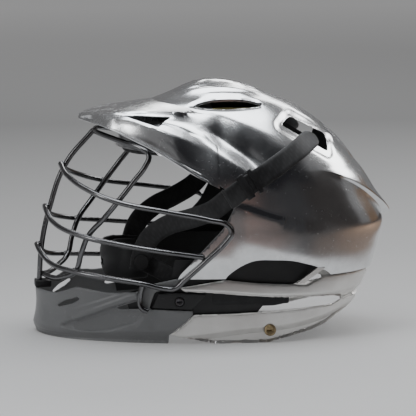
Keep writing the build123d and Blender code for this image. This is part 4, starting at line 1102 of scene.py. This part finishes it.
@dataclass
class JawShells(SubAssembly):
    """The silver jaw bands and the grey chin guard."""

    band_voxel: float = 0.9 * MM
    band_passes: int = 9
    guard_voxel: float = 1.1 * MM
    low_crease: tuple[Row, ...] = ((-50, 5), (-20, 9), (20, 14), (60, 17), (96, 23), (130, 32))
    low_slopes: Row = (0.50, 0.12)
    high_crease: tuple[Row, ...] = ((-40, 51), (0, 49.5), (40, 46), (100, 44.5), (147, 44))
    high_slopes: Row = (0.42, 0.06)
    strut: tuple[Row, ...] = ((69, 55), (76, 55), (95, 69), (88, 69))
    strut_y: Row = (0.0862, 0.0895)
    skirt_z: Row = (24, 78)
    skirt_starts: tuple[Row, ...] = ((24, -84), (49, -84), (54, -54), (78, -44))
    skirt_ends: tuple[Row, ...] = ((24, 28), (44, 46), (56, 70), (69, 90), (78, 90))
    skirt_inset: float = 6.5 * MM
    skirt_wall: float = 1.2 * MM
    skirt_columns: int = 24
    recess: tuple[Row, ...] = ((-145, 12.5), (-103, 31), (-80, 39), (-74, 30), (-83, 20), (-106, 12.5), (-128, 10.5))
    recess_depth: float = 2.6
    rib: tuple[Row, ...] = ((-140, 23.6), (-80, 48), (-79.5, 49.4), (-140.5, 25))
    rib_height: float = 1.5
    most_relief: float = 0.8

    def band_facets(self, p: Vector) -> float:
        """How far the bands' outer face turns in at a place, in millimetres."""
        x, z = p.x / MM, p.z / MM
        is_low = z < 33 + 0.02 * x
        crease = along(self.low_crease if is_low else self.high_crease, x)[0]
        below, above = self.low_slopes if is_low else self.high_slopes
        return below * max(0.0, crease - z) + above * max(0.0, z - crease)

    def bands(self) -> None:
        """Makes the silver bands from the lower shell's solid."""
        piece = moulded(copy_of_node("lower_shell", "jaw_bands"), self.band_voxel, self.band_passes)
        move_points(piece, lambda p, n: -n * (self.band_facets(p) * MM * smooth_step(
            0.2, 0.7, n.x * (p.x - 0.015) * 6 + n.y * math.copysign(1, p.y))))
        bar = prism("rear_strut", scaled(self.strut), *self.strut_y)
        piece = joined("jaw_bands", [piece, bar, mirror_copy(bar, "rear_strut_left")])
        self.finish(piece, Slot.SILVER, 60, ["lower_shell"])

    def skirt(self) -> None:
        """The black inner skirt that closes the ear vents and the slots between the bands."""
        rows, top = [], JAW.height / MM
        for z in spread(*self.skirt_z, 4):
            first, last = along(self.skirt_starts, z)[0], along(self.skirt_ends, z)[0]
            row = []
            for i in range(self.skirt_columns + 1):
                x = first + (last - first) * i / self.skirt_columns
                row.append((x * MM, JAW.side_y(x * MM, min(z, top) * MM, self.skirt_inset), z * MM))
            rows.append(row)
        piece = surface("inner_skirt_right", rows)
        modify(piece, "SOLIDIFY", thickness=self.skirt_wall, offset=-1.0)
        weld(piece)
        smooth(piece, 40)
        self.dress(piece, Slot.BLACK)
        other = mirror_copy(piece, "inner_skirt_left")
        self.mount(piece, "helmet", Slot.BLACK)
        self.mount(other, "helmet", Slot.BLACK)

    def guard_relief(self, p: Vector) -> float:
        """How far the guard's rib, recess and lower facet stand out at a place, in millimetres."""
        x, z = p.x / MM, p.z / MM
        sunk = self.recess_depth * (1 - smooth_step(0.0, 3.0, outside_distance(self.recess, x, z)))
        raised = self.rib_height * (1 - smooth_step(0.4, 3.6, outside_distance(self.rib, x, z)))
        under = 0.45 * max(0.0, 9.5 + 0.02 * (x + 170) - z)
        front = 0.5 * max(0.0, 6 - abs(x + 163)) * plateau((3, 22, 22, 34), z)
        return min(self.most_relief, raised - sunk - under + 0.4 * front)

    def guard(self) -> None:
        """Makes the grey chin guard from its solid."""
        piece = moulded(copy_of_node("chin_guard", "chin_guard_skin"), self.guard_voxel)
        move_points(piece, lambda p, n: n * (self.guard_relief(p) * MM * smooth_step(
            0.25, 0.7, n.y * math.copysign(1, p.y) - 0.5 * n.x)))
        self.finish(piece, Slot.GREY, 60, ["chin_guard"])

    def build(self) -> None:
        """Makes the bands and the guard."""
        self.bands()
        self.skirt()
        self.guard()


@dataclass
class FaceMask(SubAssembly):
    """The welded wire mask."""

    radius: float = 2.5 * MM
    weld_bite: float = 0.4
    face_x: float = -40.0
    brow_crossing: Row = (-98.0, 77.5, 132.0)
    middle_crossing: Row = (-126.0, 62.0, 97.5)
    chin_crossing: Row = (-137.0, 54.5, 64.5)
    brow_middle: Row = (-143.0, 0.0, 158.0)
    bar_middle: Row = (-158.0, 0.0, 118.0)
    chin_middle: Row = (-166.0, 0.0, 82.0)
    bar_top: Row = (-112.1, 0.0, 189.8)
    bead_size: float = 0.0027
    bead_shift: float = 0.0022
    heat_reach: Row = (0.002, 0.013)

    def inside(self, point: Row) -> Vector:
        """The same place one wire further in."""
        x, y, z = point
        inward = Vector((self.face_x - x, -y, 0)).normalized() * (2 * self.radius / MM - self.weld_bite)
        return Vector((x + inward.x, y + inward.y, z))

    def heat(self, piece: Piece, welds: Sequence[Vector]) -> None:
        """Stores how near each point lies to a weld."""
        layer = piece.data.attributes.new("heat", "FLOAT", "POINT")
        values = []
        for vertex in piece.data.vertices:
            nearest = min((vertex.co - weld).length for weld in welds)
            values.append(1 - smooth_step(*self.heat_reach, nearest))
        layer.data.foreach_set("value", values)

    def bead(self, weld_place: Vector) -> Piece:
        """One lumpy bead on the inner side of a weld."""
        inward = Vector((self.face_x * MM - weld_place.x, -weld_place.y, 0)).normalized()
        place = weld_place + inward * self.bead_shift
        deselect()
        bpy.ops.mesh.primitive_ico_sphere_add(subdivisions=3, radius=self.bead_size)
        piece = named("bead")
        for vertex in piece.data.vertices:
            vertex.co *= 1 + 0.25 * noise.noise(vertex.co * 900 + place * 300)
        piece.data.transform(Matrix.Translation(place))
        return piece

    def build(self) -> None:
        """Makes the wires and their welds."""
        top = [self.brow_middle, (-138.5, 31, 150.5), (-122, 58.5, 140.5), self.brow_crossing, (-50, 95.5, 123.5),
               (-14, 103.8, 117), (2.5, 105.3, 112), (6, 105.6, 105)]
        side = [(2, 105.3, 98), (-16, 102.8, 80), (-37, 98.3, 60.5), (-45.5, 96.5, 53), (-53, 94.3, 52.6)]
        low = [(-75, 88.6, 57), (-106, 75.5, 60.5), self.chin_crossing, (-154, 35, 68.5), (-163, 17, 76.5),
               self.chin_middle]
        half = [*top, *side, *low]
        ring = [*half, *[across(p) for p in reversed(half[1:-1])], half[0]]
        bar = [self.bar_middle, (-151.5, 32, 106.5), self.middle_crossing, (-95, 80, 92.5), (-55, 95, 87),
               (-19.5, 102, 82.5)]
        foot = (-164.0, 0.0, 46.0)
        reach = self.radius / MM - self.weld_bite / 2
        loop = [(self.bar_top[0] + 0.6, reach, self.bar_top[2] - 1), (-106, 28, 188.5), (-88, 55, 184),
                (-74, 68, 180), (-67, 73, 174), (-70.5, 75, 164), (-80.5, 75, 151),
                self.inside(self.brow_crossing), (-108.5, 68.5, 115), self.inside(self.middle_crossing),
                (-128.5, 56.5, 81), self.inside(self.chin_crossing), (-143, 38, 56.5), (-153.5, 17, 53),
                (-159.5, reach, 54)]
        hook = [(-75, 88.6, 54.7), (-77.2, 88.1, 43), (-75.5, 88.9, 34.5), (-69.5, 90.6, 31)]
        wires = {
            "mask_rim": ring,
            "mask_middle_bar": [*[across(p) for p in reversed(bar)], *bar[1:]],
            "mask_centre_bar": [self.bar_top, self.inside(self.brow_middle), self.inside(self.bar_middle),
                                self.inside(self.chin_middle), foot],
            "mask_eye_loop_right": loop, "mask_eye_loop_left": [across(p) for p in loop],
            "mask_hook_right": hook, "mask_hook_left": [across(p) for p in hook],
        }
        welds = [self.brow_crossing, self.middle_crossing, self.chin_crossing, (-75, 88.6, 55), (-20, 102.3, 82),
                 (-45.5, 96.5, 53)]
        welds = [mm(*p) for p in welds] + [mm(*across(p)) for p in welds]
        centres = [mm(*p) for p in (self.brow_middle, self.bar_middle, self.chin_middle, self.bar_top, (-160, 0, 54))]
        for name, points in wires.items():
            piece = wire(name + "_wire", [mm(*p) for p in points], self.radius)
            self.heat(piece, welds + centres)
            self.finish(piece, Slot.WIRE, 50, [name])
        piece = joined("mask_welds", [self.bead(p) for p in welds + centres[:3]])
        self.heat(piece, welds + centres)
        self.finish(piece, Slot.WIRE, 70)


@dataclass
class Straps(SubAssembly):
    """Webbing from the chin cup over the shell's edges, and back to the jaw screws."""

    width: float = 19.0
    lower_width: float = 16.0
    thickness: float = 1.6
    lift: float = 1.8
    low: Vector = field(default_factory=lambda: Vector((9.05, 0, 140.02)))
    high: Vector = field(default_factory=lambda: Vector((81.3, 0, 183.96)))
    drape: tuple[Row, ...] = ((-74.0, 0.0, 63.5, 0.15, 0.99), (-71.5, 0.0, 78.5, 0.22, 0.97),
                              (-64.5, 3.5, 95.0, 0.58, 0.82), (-49.0, 11.0, 107.5, 0.86, 0.50),
                              (-28.0, 24.0, 115.5, 0.93, 0.37), (-9.0, 36.0, 124.5, 0.88, 0.47))
    snap: Row = (-72.0, 50.55, 72.0)
    layer_gap: float = 0.7
    half_wall: float = 1.5
    edge_gap: float = 0.8
    edge_place: Row = (5.5, 137.0)
    screw_place: Row = (43.5, 12.0)
    tab_half: float = 7.0
    jaw_wall: float = 3.0
    stitch_half: float = 0.9
    thread_radius: float = 0.28

    @property
    def way(self) -> Vector:
        """The direction of the outer strap, seen from the side."""
        return (self.high - self.low).normalized()

    def on_crown(self, share: float) -> tuple[Vector, Vector]:
        """A station of the outer strap and the direction of its width, in millimetres."""
        place = self.low + (self.high - self.low) * share
        normal = CROWN.side_normal(place.x * MM, place.z * MM)
        y = CROWN.side_y(place.x * MM, place.z * MM) / MM
        centre = Vector((place.x, y, place.z)) + normal * (self.lift + self.thickness / 2)
        return centre, -normal.cross(self.way).normalized()

    def upper_stations(self) -> list[tuple[Vector, Vector]]:
        """Stations of the upper strap, from the cup to its loose end."""
        outward, way = Vector((0, 1, 0)), self.way
        straight_way = self.on_crown(0.23)[1]
        edge_x, edge_z = self.edge_place
        edge = Vector((edge_x, CROWN.side_y(edge_x * MM, edge_z * MM) / MM - self.half_wall, edge_z))
        reach = self.half_wall + self.edge_gap + self.thickness / 2
        tab_y = self.snap[1] + self.thickness / 2 + self.thickness + self.layer_gap
        stations = []
        for x, out, z, way_x, way_z in self.drape:
            stations.append((Vector((x, tab_y + out, z)), Vector((-way_z, 0, way_x)).normalized()))
        for degrees in (130, 105, 80, 55, 30, 8):
            angle = math.radians(degrees)
            centre = edge + outward * (reach * math.cos(angle)) - way * (reach * math.sin(angle))
            stations.append((centre, straight_way))
        stations += [(self.on_crown(share)[0], straight_way) for share in (0.09, 0.37)]
        stations += [self.on_crown(share) for share in (0.50, 0.66, 0.83, 1.0)]
        return stations

    def lower_stations(self) -> list[tuple[Vector, Vector]]:
        """Stations of the lower strap, from the cup to the jaw screw."""
        way, width_way = Vector((1, 0, -0.5)).normalized(), Vector((0.5, 0, 1)).normalized()
        snap_x, snap_y, snap_z = self.snap
        start = Vector((snap_x, snap_y + self.thickness / 2, snap_z))
        tab = []
        for reach in (-self.tab_half, self.tab_half):
            x, z = self.screw_place[0] + reach * way.x, self.screw_place[1] + reach * way.z
            y = JAW.side_y(x * MM, max(0.0, z - 8) * MM) / MM - self.jaw_wall - self.layer_gap - self.thickness / 2
            tab.append(Vector((x, y, z)))
        centres = [*(start + way * run for run in (-self.tab_half, self.tab_half, 16.8)),
                   tab[0] - way * 8.4 - Vector((0, 3, 0)), *tab]
        return [(centre, width_way) for centre in centres]

    def ribbon(self, name: str, stations: Sequence[tuple[Vector, Vector]], width: float,
               round_end: bool = False) -> Piece:
        """Webbing along stations, with rounded edges and a UV map in metres.

        Args:
            name: The piece's name.
            stations: Centres and width directions, in millimetres.
            width: The webbing's width, in millimetres.
            round_end: Whether the last end is cut to a half round.

        Returns:
            The webbing as a closed mesh.
        """
        lengths, thickness = [0.0], self.thickness
        for (a, _), (b, _) in zip(stations, stations[1:]):
            lengths.append(lengths[-1] + (b - a).length)
        table = [(run, *centre, *way) for run, (centre, way) in zip(lengths, stations)]
        places = spread(0, lengths[-1], 1.5)
        tip = width / 2
        if round_end:
            places = [p for p in places if p < lengths[-1] - 1] + [
                lengths[-1] + tip * math.sin(math.pi / 2 * i / 11) for i in range(12)]
        last_way = None
        rows, runs = [], []
        for run in places:
            values = along(table, min(run, lengths[-1]))
            centre, across_way = Vector(values[:3]), Vector(values[3:]).normalized()
            ahead = Vector(along(table, min(run + 0.5, lengths[-1]))[:3])
            behind = Vector(along(table, min(run, lengths[-1]) - 0.5)[:3])
            tangent = (ahead - behind).normalized()
            past = max(0.0, run - lengths[-1])
            if past:
                tangent = last_way
                centre = centre + tangent * past
            last_way = tangent
            normal = across_way.cross(tangent).normalized()
            across_way = tangent.cross(normal).normalized()
            half = width / 2 * max(0.0004, 1 - (past / tip) ** 2.6) ** 0.5
            ring = []
            edge = min(0.35 * thickness, half * 0.5)
            profile = [(-half, -0.2), (-half + edge, -0.5), *[(half * s, -0.5) for s in (-0.6, -0.2, 0.2, 0.6)],
                       (half - edge, -0.5), (half, -0.2), (half, 0.2), (half - edge, 0.5),
                       *[(half * s, 0.5) for s in (0.6, 0.2, -0.2, -0.6)], (-half + edge, 0.5), (-half, 0.2)]
            for side, up in profile:
                ring.append((centre + across_way * side + normal * (up * thickness)) * MM)
            rows.append([*ring, ring[0]])
            runs.append(run * MM)
        piece = surface(name, rows)
        layer = piece.data.uv_layers.active or piece.data.uv_layers.new(name="UVMap")
        columns = len(rows[0])
        for loop in piece.data.loops:
            row, column = divmod(loop.vertex_index, columns)
            side = column if column < 8 else 15 - min(column, 15)
            layer.data[loop.index].uv = (side / 7 * width * MM, runs[row])
        in_edit_mode(piece, merge)
        close_ends(piece)
        smooth(piece, 50)
        return piece

    def stitches(self, name: str) -> Piece:
        """Rows of short threads lying across the webbing, as one mesh."""
        parts = []
        for share in spread(0.155, 0.205, 0.025):
            centre, across_way = self.on_crown(share)
            normal = across_way.cross(self.way).normalized()
            normal = normal if normal.y > 0 else -normal
            for side in spread(-7.5, 7.5, 2.5):
                middle = centre + across_way * side + normal * (self.thickness / 2 + 0.1)
                half = across_way * self.stitch_half
                parts.append(rod_between("stitch", (middle - half) * MM, (middle + half) * MM,
                                         self.thread_radius * MM, 8))
        return joined(name, parts)

    def build(self) -> None:
        """Makes the straps, their folds and their stitches on both sides."""
        pieces = {
            "strap": self.ribbon("strap_right_webbing", self.upper_stations(), self.width, round_end=True),
            "lower_strap": self.ribbon("lower_strap_right_webbing", self.lower_stations(), self.lower_width),
            "thread": self.stitches("strap_stitches_right"),
        }
        for kind, piece in pieces.items():
            self.dress(piece, Slot.WEBBING)
            other = mirror_copy(piece, piece.name.replace("right", "left"))
            for side, made in ((Side.RIGHT, piece), (Side.LEFT, other)):
                nodes = [] if kind == "thread" else [f"{kind}_{side.word}"]
                self.mount(made, "helmet", Slot.WEBBING, nodes)


@dataclass
class Liner(SubAssembly):
    """Foam pads inside the shells and on the rear cradle, and the chin cup."""

    voxel: float = 4.5 * MM
    pressure: float = 4.0
    frames: int = 20
    most_swell: float = 1.6 * MM
    under_cover: float = 1.2
    crown_top: float = 206 * MM

    def swollen(self, piece: Piece) -> None:
        """Lets a pad fill out under its cover, as cloth under pressure."""
        start = [vertex.co.copy() for vertex in piece.data.vertices]
        only(piece)
        cloth = piece.modifiers.new("Cloth", "CLOTH")
        cloth.settings.use_pressure = True
        cloth.settings.uniform_pressure_force = self.pressure
        cloth.settings.effector_weights.gravity = 0.0
        cloth.settings.quality = 4
        for number in range(1, self.frames + 1):
            bpy.context.scene.frame_set(number)
        bpy.ops.object.modifier_apply(modifier=cloth.name)
        for vertex, before in zip(piece.data.vertices, start):
            move = vertex.co - before
            if move.length > self.most_swell:
                vertex.co = before + move * (self.most_swell / move.length)
        bpy.context.scene.frame_set(1)

    def pad(self, node: str, slot: Slot, body: str = "helmet", fill: float = 0.7,
            top: Optional[float] = None) -> Piece:
        """One foam pad in the space of its node, cut level at a height where one is given."""
        piece = copy_of_node(node, node + "_foam")
        if top:
            keep_side(piece, (0, 0, top), (0, 0, 1))
        moulded(piece, self.voxel, 1)
        move_points(piece, lambda p, n: (CrownShell.drawn_in(p / MM) - n * self.under_cover) * MM)
        self.swollen(piece)
        modify(piece, "SUBSURF", levels=1, render_levels=1)
        self.finish(piece, slot, 70, [node], body)
        return piece

    def mirrored_pad(self, stem: str, slot: Slot) -> None:
        """A pair of pads, the left one a copy of the right without its notes for the frame."""
        right = self.pad(stem + "_right", slot)
        left = mirror_copy(right, stem + "_left_foam")
        for key in list(left.keys()):
            del left[key]
        left.parent = None
        self.mount(left, "helmet", slot, [stem + "_left"])

    def build(self) -> None:
        """Makes the pads and the cup."""
        for node in ("brow_pad", "rear_pad"):
            self.pad(node, Slot.LINER)
        for stem in ("side_pad", "jaw_pad"):
            self.mirrored_pad(stem, Slot.LINER)
        self.pad("crown_foam", Slot.OLIVE, top=self.crown_top)
        self.pad("occipital_pad", Slot.LINER, "cradle")
        self.pad("chin_cup_pad", Slot.LINER, "chin_cup")
        cup = moulded(copy_of_node("chin_cup", "chin_cup_skin"), 1.2 * MM, 5)
        self.finish(cup, Slot.BLACK, 60, ["chin_cup"], "chin_cup")


@dataclass
class Hardware(SubAssembly):
    """Clips, plates, screws and the rear fit parts, kept at their true shape with softened edges."""

    kept: tuple[tuple[str, Slot, str, float], ...] = (
        ("mask_mount_left", Slot.BLACK, "helmet", 0.4), ("mask_mount_right", Slot.BLACK, "helmet", 0.4),
        ("mask_chin_clip", Slot.BLACK, "helmet", 0.0), ("strap_keeper_left", Slot.BLACK, "helmet", 0.3),
        ("strap_keeper_right", Slot.BLACK, "helmet", 0.3), ("strap_slider_left", Slot.BLACK, "slider_left", 0.4),
        ("strap_slider_right", Slot.BLACK, "slider_right", 0.4), ("mask_screws", Slot.DARK_METAL, "helmet", 0.0),
        ("mask_nuts", Slot.DARK_METAL, "helmet", 0.2), ("visor_screw", Slot.DARK_METAL, "helmet", 0.2),
        ("jaw_screws", Slot.BRASS, "helmet", 0.0), ("jaw_nuts", Slot.DARK_METAL, "helmet", 0.2),
        ("cup_snaps", Slot.BLACK, "chin_cup", 0.0), ("occipital_cradle", Slot.BLACK, "cradle", 0.4),
        ("fit_guides", Slot.BLACK, "helmet", 0.3), ("fit_dial_base", Slot.BLACK, "helmet", 0.3),
        ("fit_dial", Slot.DIAL, "fit_dial", 0.4))

    def build(self) -> None:
        """Makes every small part."""
        for node, slot, body, edge in self.kept:
            piece = copy_of_node(node, node + "_part")
            if edge:
                soften(piece, edge * MM, 50)
            self.finish(piece, slot, 35, [node], body)


@dataclass
class Studio:
    """The pale floor, the cards and soft lights that the plating mirrors, and the camera."""

    azimuth: float = -6.5
    elevation: float = 8.0
    mm_per_pixel: float = 0.95
    image_size: float = 416.0
    origin_pixel: Row = (212.0, 326.6)
    lens: float = 300.0
    sensor: float = 36.0
    floor_glow: float = 0.45
    floor_y: Row = (-0.4, 3.7)
    # Greys of the paper by distance are painted light falloff: lighter near the helmet, darker further off and
    # lighter again far away
    floor_greys: tuple[Row, ...] = ((0.0, 0.455), (0.21, 0.281), (0.51, 0.182), (1.0, 0.45))
    dark_y: Row = (-0.51, -0.62)
    warm_x: Row = (0.27, 0.36)
    # Cards that glow as painted light, standing in for the room that the plating reflects
    cards: tuple[tuple[str, Row, Row, Row], ...] = (
        ("room_behind", (0.5, -4.6, 0.5), (0.9, 1.5), (0.34, 0.22, 0.19)),
        ("room_dark", (1.0, -5.0, 1.2), (9.0, 3.8), (0.075, 0.075, 0.080)),
        ("room_rear", (3.6, 2.2, 0.5), (1.8, 1.6), (0.30, 0.20, 0.13)),
        ("room_above", (0.8, -2.4, 2.5), (4.4, 2.8), (0.02, 0.02, 0.024)),
        ("room_right", (5.0, -2.2, 1.1), (5.0, 3.6), (0.075, 0.068, 0.066)))
    softboxes: tuple[tuple[Row, Row, Row, float, Row], ...] = (
        ((0.0, 0.1, 1.9), (0.0, 0, 0.1), (1.5, 1.1), 26, (0.93, 0.96, 1.0)),
        ((1.4, 0.42, 1.15), (0.05, 0, 0.15), (0.8, 0.9), 13, (1.0, 1.0, 1.0)),
        ((0.7, 1.75, 1.4), (0.05, 0, 0.15), (1.6, 0.5), 12, (1.0, 1.0, 1.0)),
        ((-0.55, -0.70, 1.7), (0, 0, 0.15), (0.5, 0.35), 5, (0.93, 0.97, 1.0)),
        ((-1.7, -0.9, 0.9), (0, 0, 0.12), (0.35, 0.9), 6, (1.0, 1.0, 1.0)))

    def camera(self) -> None:
        """Puts the camera where the photograph was taken from."""
        a, e = math.radians(self.azimuth), math.radians(self.elevation)
        back = Vector((math.sin(a) * math.cos(e), -math.cos(a) * math.cos(e), math.sin(e)))
        right = Vector((math.cos(a), math.sin(a), 0))
        up = back.cross(right)
        middle = self.image_size / 2
        pixel_x, pixel_y = self.origin_pixel
        aim = (right * (middle - pixel_x) + up * (pixel_y - middle)) * self.mm_per_pixel * MM
        distance = self.image_size * self.mm_per_pixel * MM * self.lens / self.sensor
        bpy.ops.object.camera_add(location=aim + back * distance)
        camera = bpy.context.active_object
        camera.rotation_euler = (-back).to_track_quat("-Z", "Y").to_euler()
        camera.data.lens = self.lens
        camera.data.sensor_width = self.sensor
        camera.data.clip_end = 100
        bpy.context.scene.camera = camera

    def softbox(self, place: Row, aim: Row, size: Row, power: float, tint: Row) -> None:
        """One soft rectangular light."""
        bpy.ops.object.light_add(type="AREA", location=place)
        light = bpy.context.active_object
        light.rotation_euler = (Vector(aim) - Vector(place)).to_track_quat("-Z", "Y").to_euler()
        light.data.shape = "RECTANGLE"
        light.data.size, light.data.size_y = size
        light.data.energy = power
        light.data.color = tint

    def paper(self) -> bpy.types.Material:
        """Glowing matte paper, with painted light falloff in greys by distance, and dark or warm patches painted
        where only the plating sees them, for it to reflect.
        """
        s = Shader("studio_paper")
        grey = s.ramp(s.remap(s.axis(1), *self.floor_y), *self.floor_greys)
        # Painted reflections: dark paper out of view towards the camera, pinkish-brown in one patch, and warm brown
        # to the rear side, seen only in the plating
        behind = s.remap(s.axis(1), *self.dark_y)
        beside = s.remap(s.axis(0) - s.axis(1) * 0.2, *self.warm_x)
        dark = s.blend(s.near(Vector((0.12, -0.90, 0)), 0.42), (0.05, 0.047, 0.046), (0.26, 0.155, 0.125))
        warm = s.blend(s.near(Vector((0.9, 0.2, 0)), 0.8), (0.035, 0.03, 0.03), (0.30, 0.19, 0.12))
        colour = s.blend(behind, s.blend(beside, grey, warm), dark)
        fibre = s.noise(60, 4, 0.6) * 0.05
        s.set(base_color=s.blend(fibre, colour, (0.2, 0.2, 0.2)), roughness=0.9,
              emission_color=colour, emission_strength=self.floor_glow)
        return s.material

    def floor(self) -> None:
        """A wide floor of paper."""
        deselect()
        bpy.ops.mesh.primitive_circle_add(vertices=96, radius=16, fill_type="NGON", location=(0, 0, 0))
        piece = named("studio_floor")
        piece.data.materials.append(self.paper())

    def card(self, name: str, middle: Row, size: Row, colour: Row) -> None:
        """A standing card beside the camera's view, glowing faintly in its own mottled colour as painted light, for
        the plating to mirror.
        """
        deselect()
        bpy.ops.mesh.primitive_plane_add(size=1, location=(0, 0, 0))
        piece = named(name)
        aim = Vector((0, 0, middle[2] * 0.6)) - Vector(middle)
        turn = aim.to_track_quat("Z", "Y").to_matrix().to_4x4()
        piece.data.transform(Matrix.Translation(middle) @ turn @ Matrix.Diagonal((*size, 1, 1)))
        s = Shader(name)
        cloud = s.noise(1.2, 3, 0.6)
        s.set(base_color=s.blend(cloud, colour, tuple(0.4 * c for c in colour)), roughness=0.9,
              emission_color=s.blend(cloud, colour, tuple(0.3 * c for c in colour)), emission_strength=0.6)
        piece.data.materials.append(s.material)

    def world(self) -> None:
        """Dim even light from all round."""
        world = bpy.data.worlds.new("studio_air")
        bpy.context.scene.world = world
        world.use_nodes = True
        background = next(n for n in world.node_tree.nodes if n.type == "BACKGROUND")
        background.inputs["Color"].default_value = (0.17, 0.168, 0.17, 1.0)
        background.inputs["Strength"].default_value = 1.0

    def build(self) -> None:
        """Sets up the studio."""
        self.floor()
        self.world()
        for card in self.cards:
            self.card(*card)
        for softbox in self.softboxes:
            self.softbox(*softbox)
        self.camera()


def main() -> None:
    """Builds the helmet, one sub-assembly after another."""
    finishes = Finishes()
    for sub_assembly in (CrownShell, Visor, JawShells, FaceMask, Straps, Liner, Hardware):
        sub_assembly(finishes).build()
        log.info("%s done", sub_assembly.__name__)
    Studio().build()


if __name__ == "__main__":
    main()
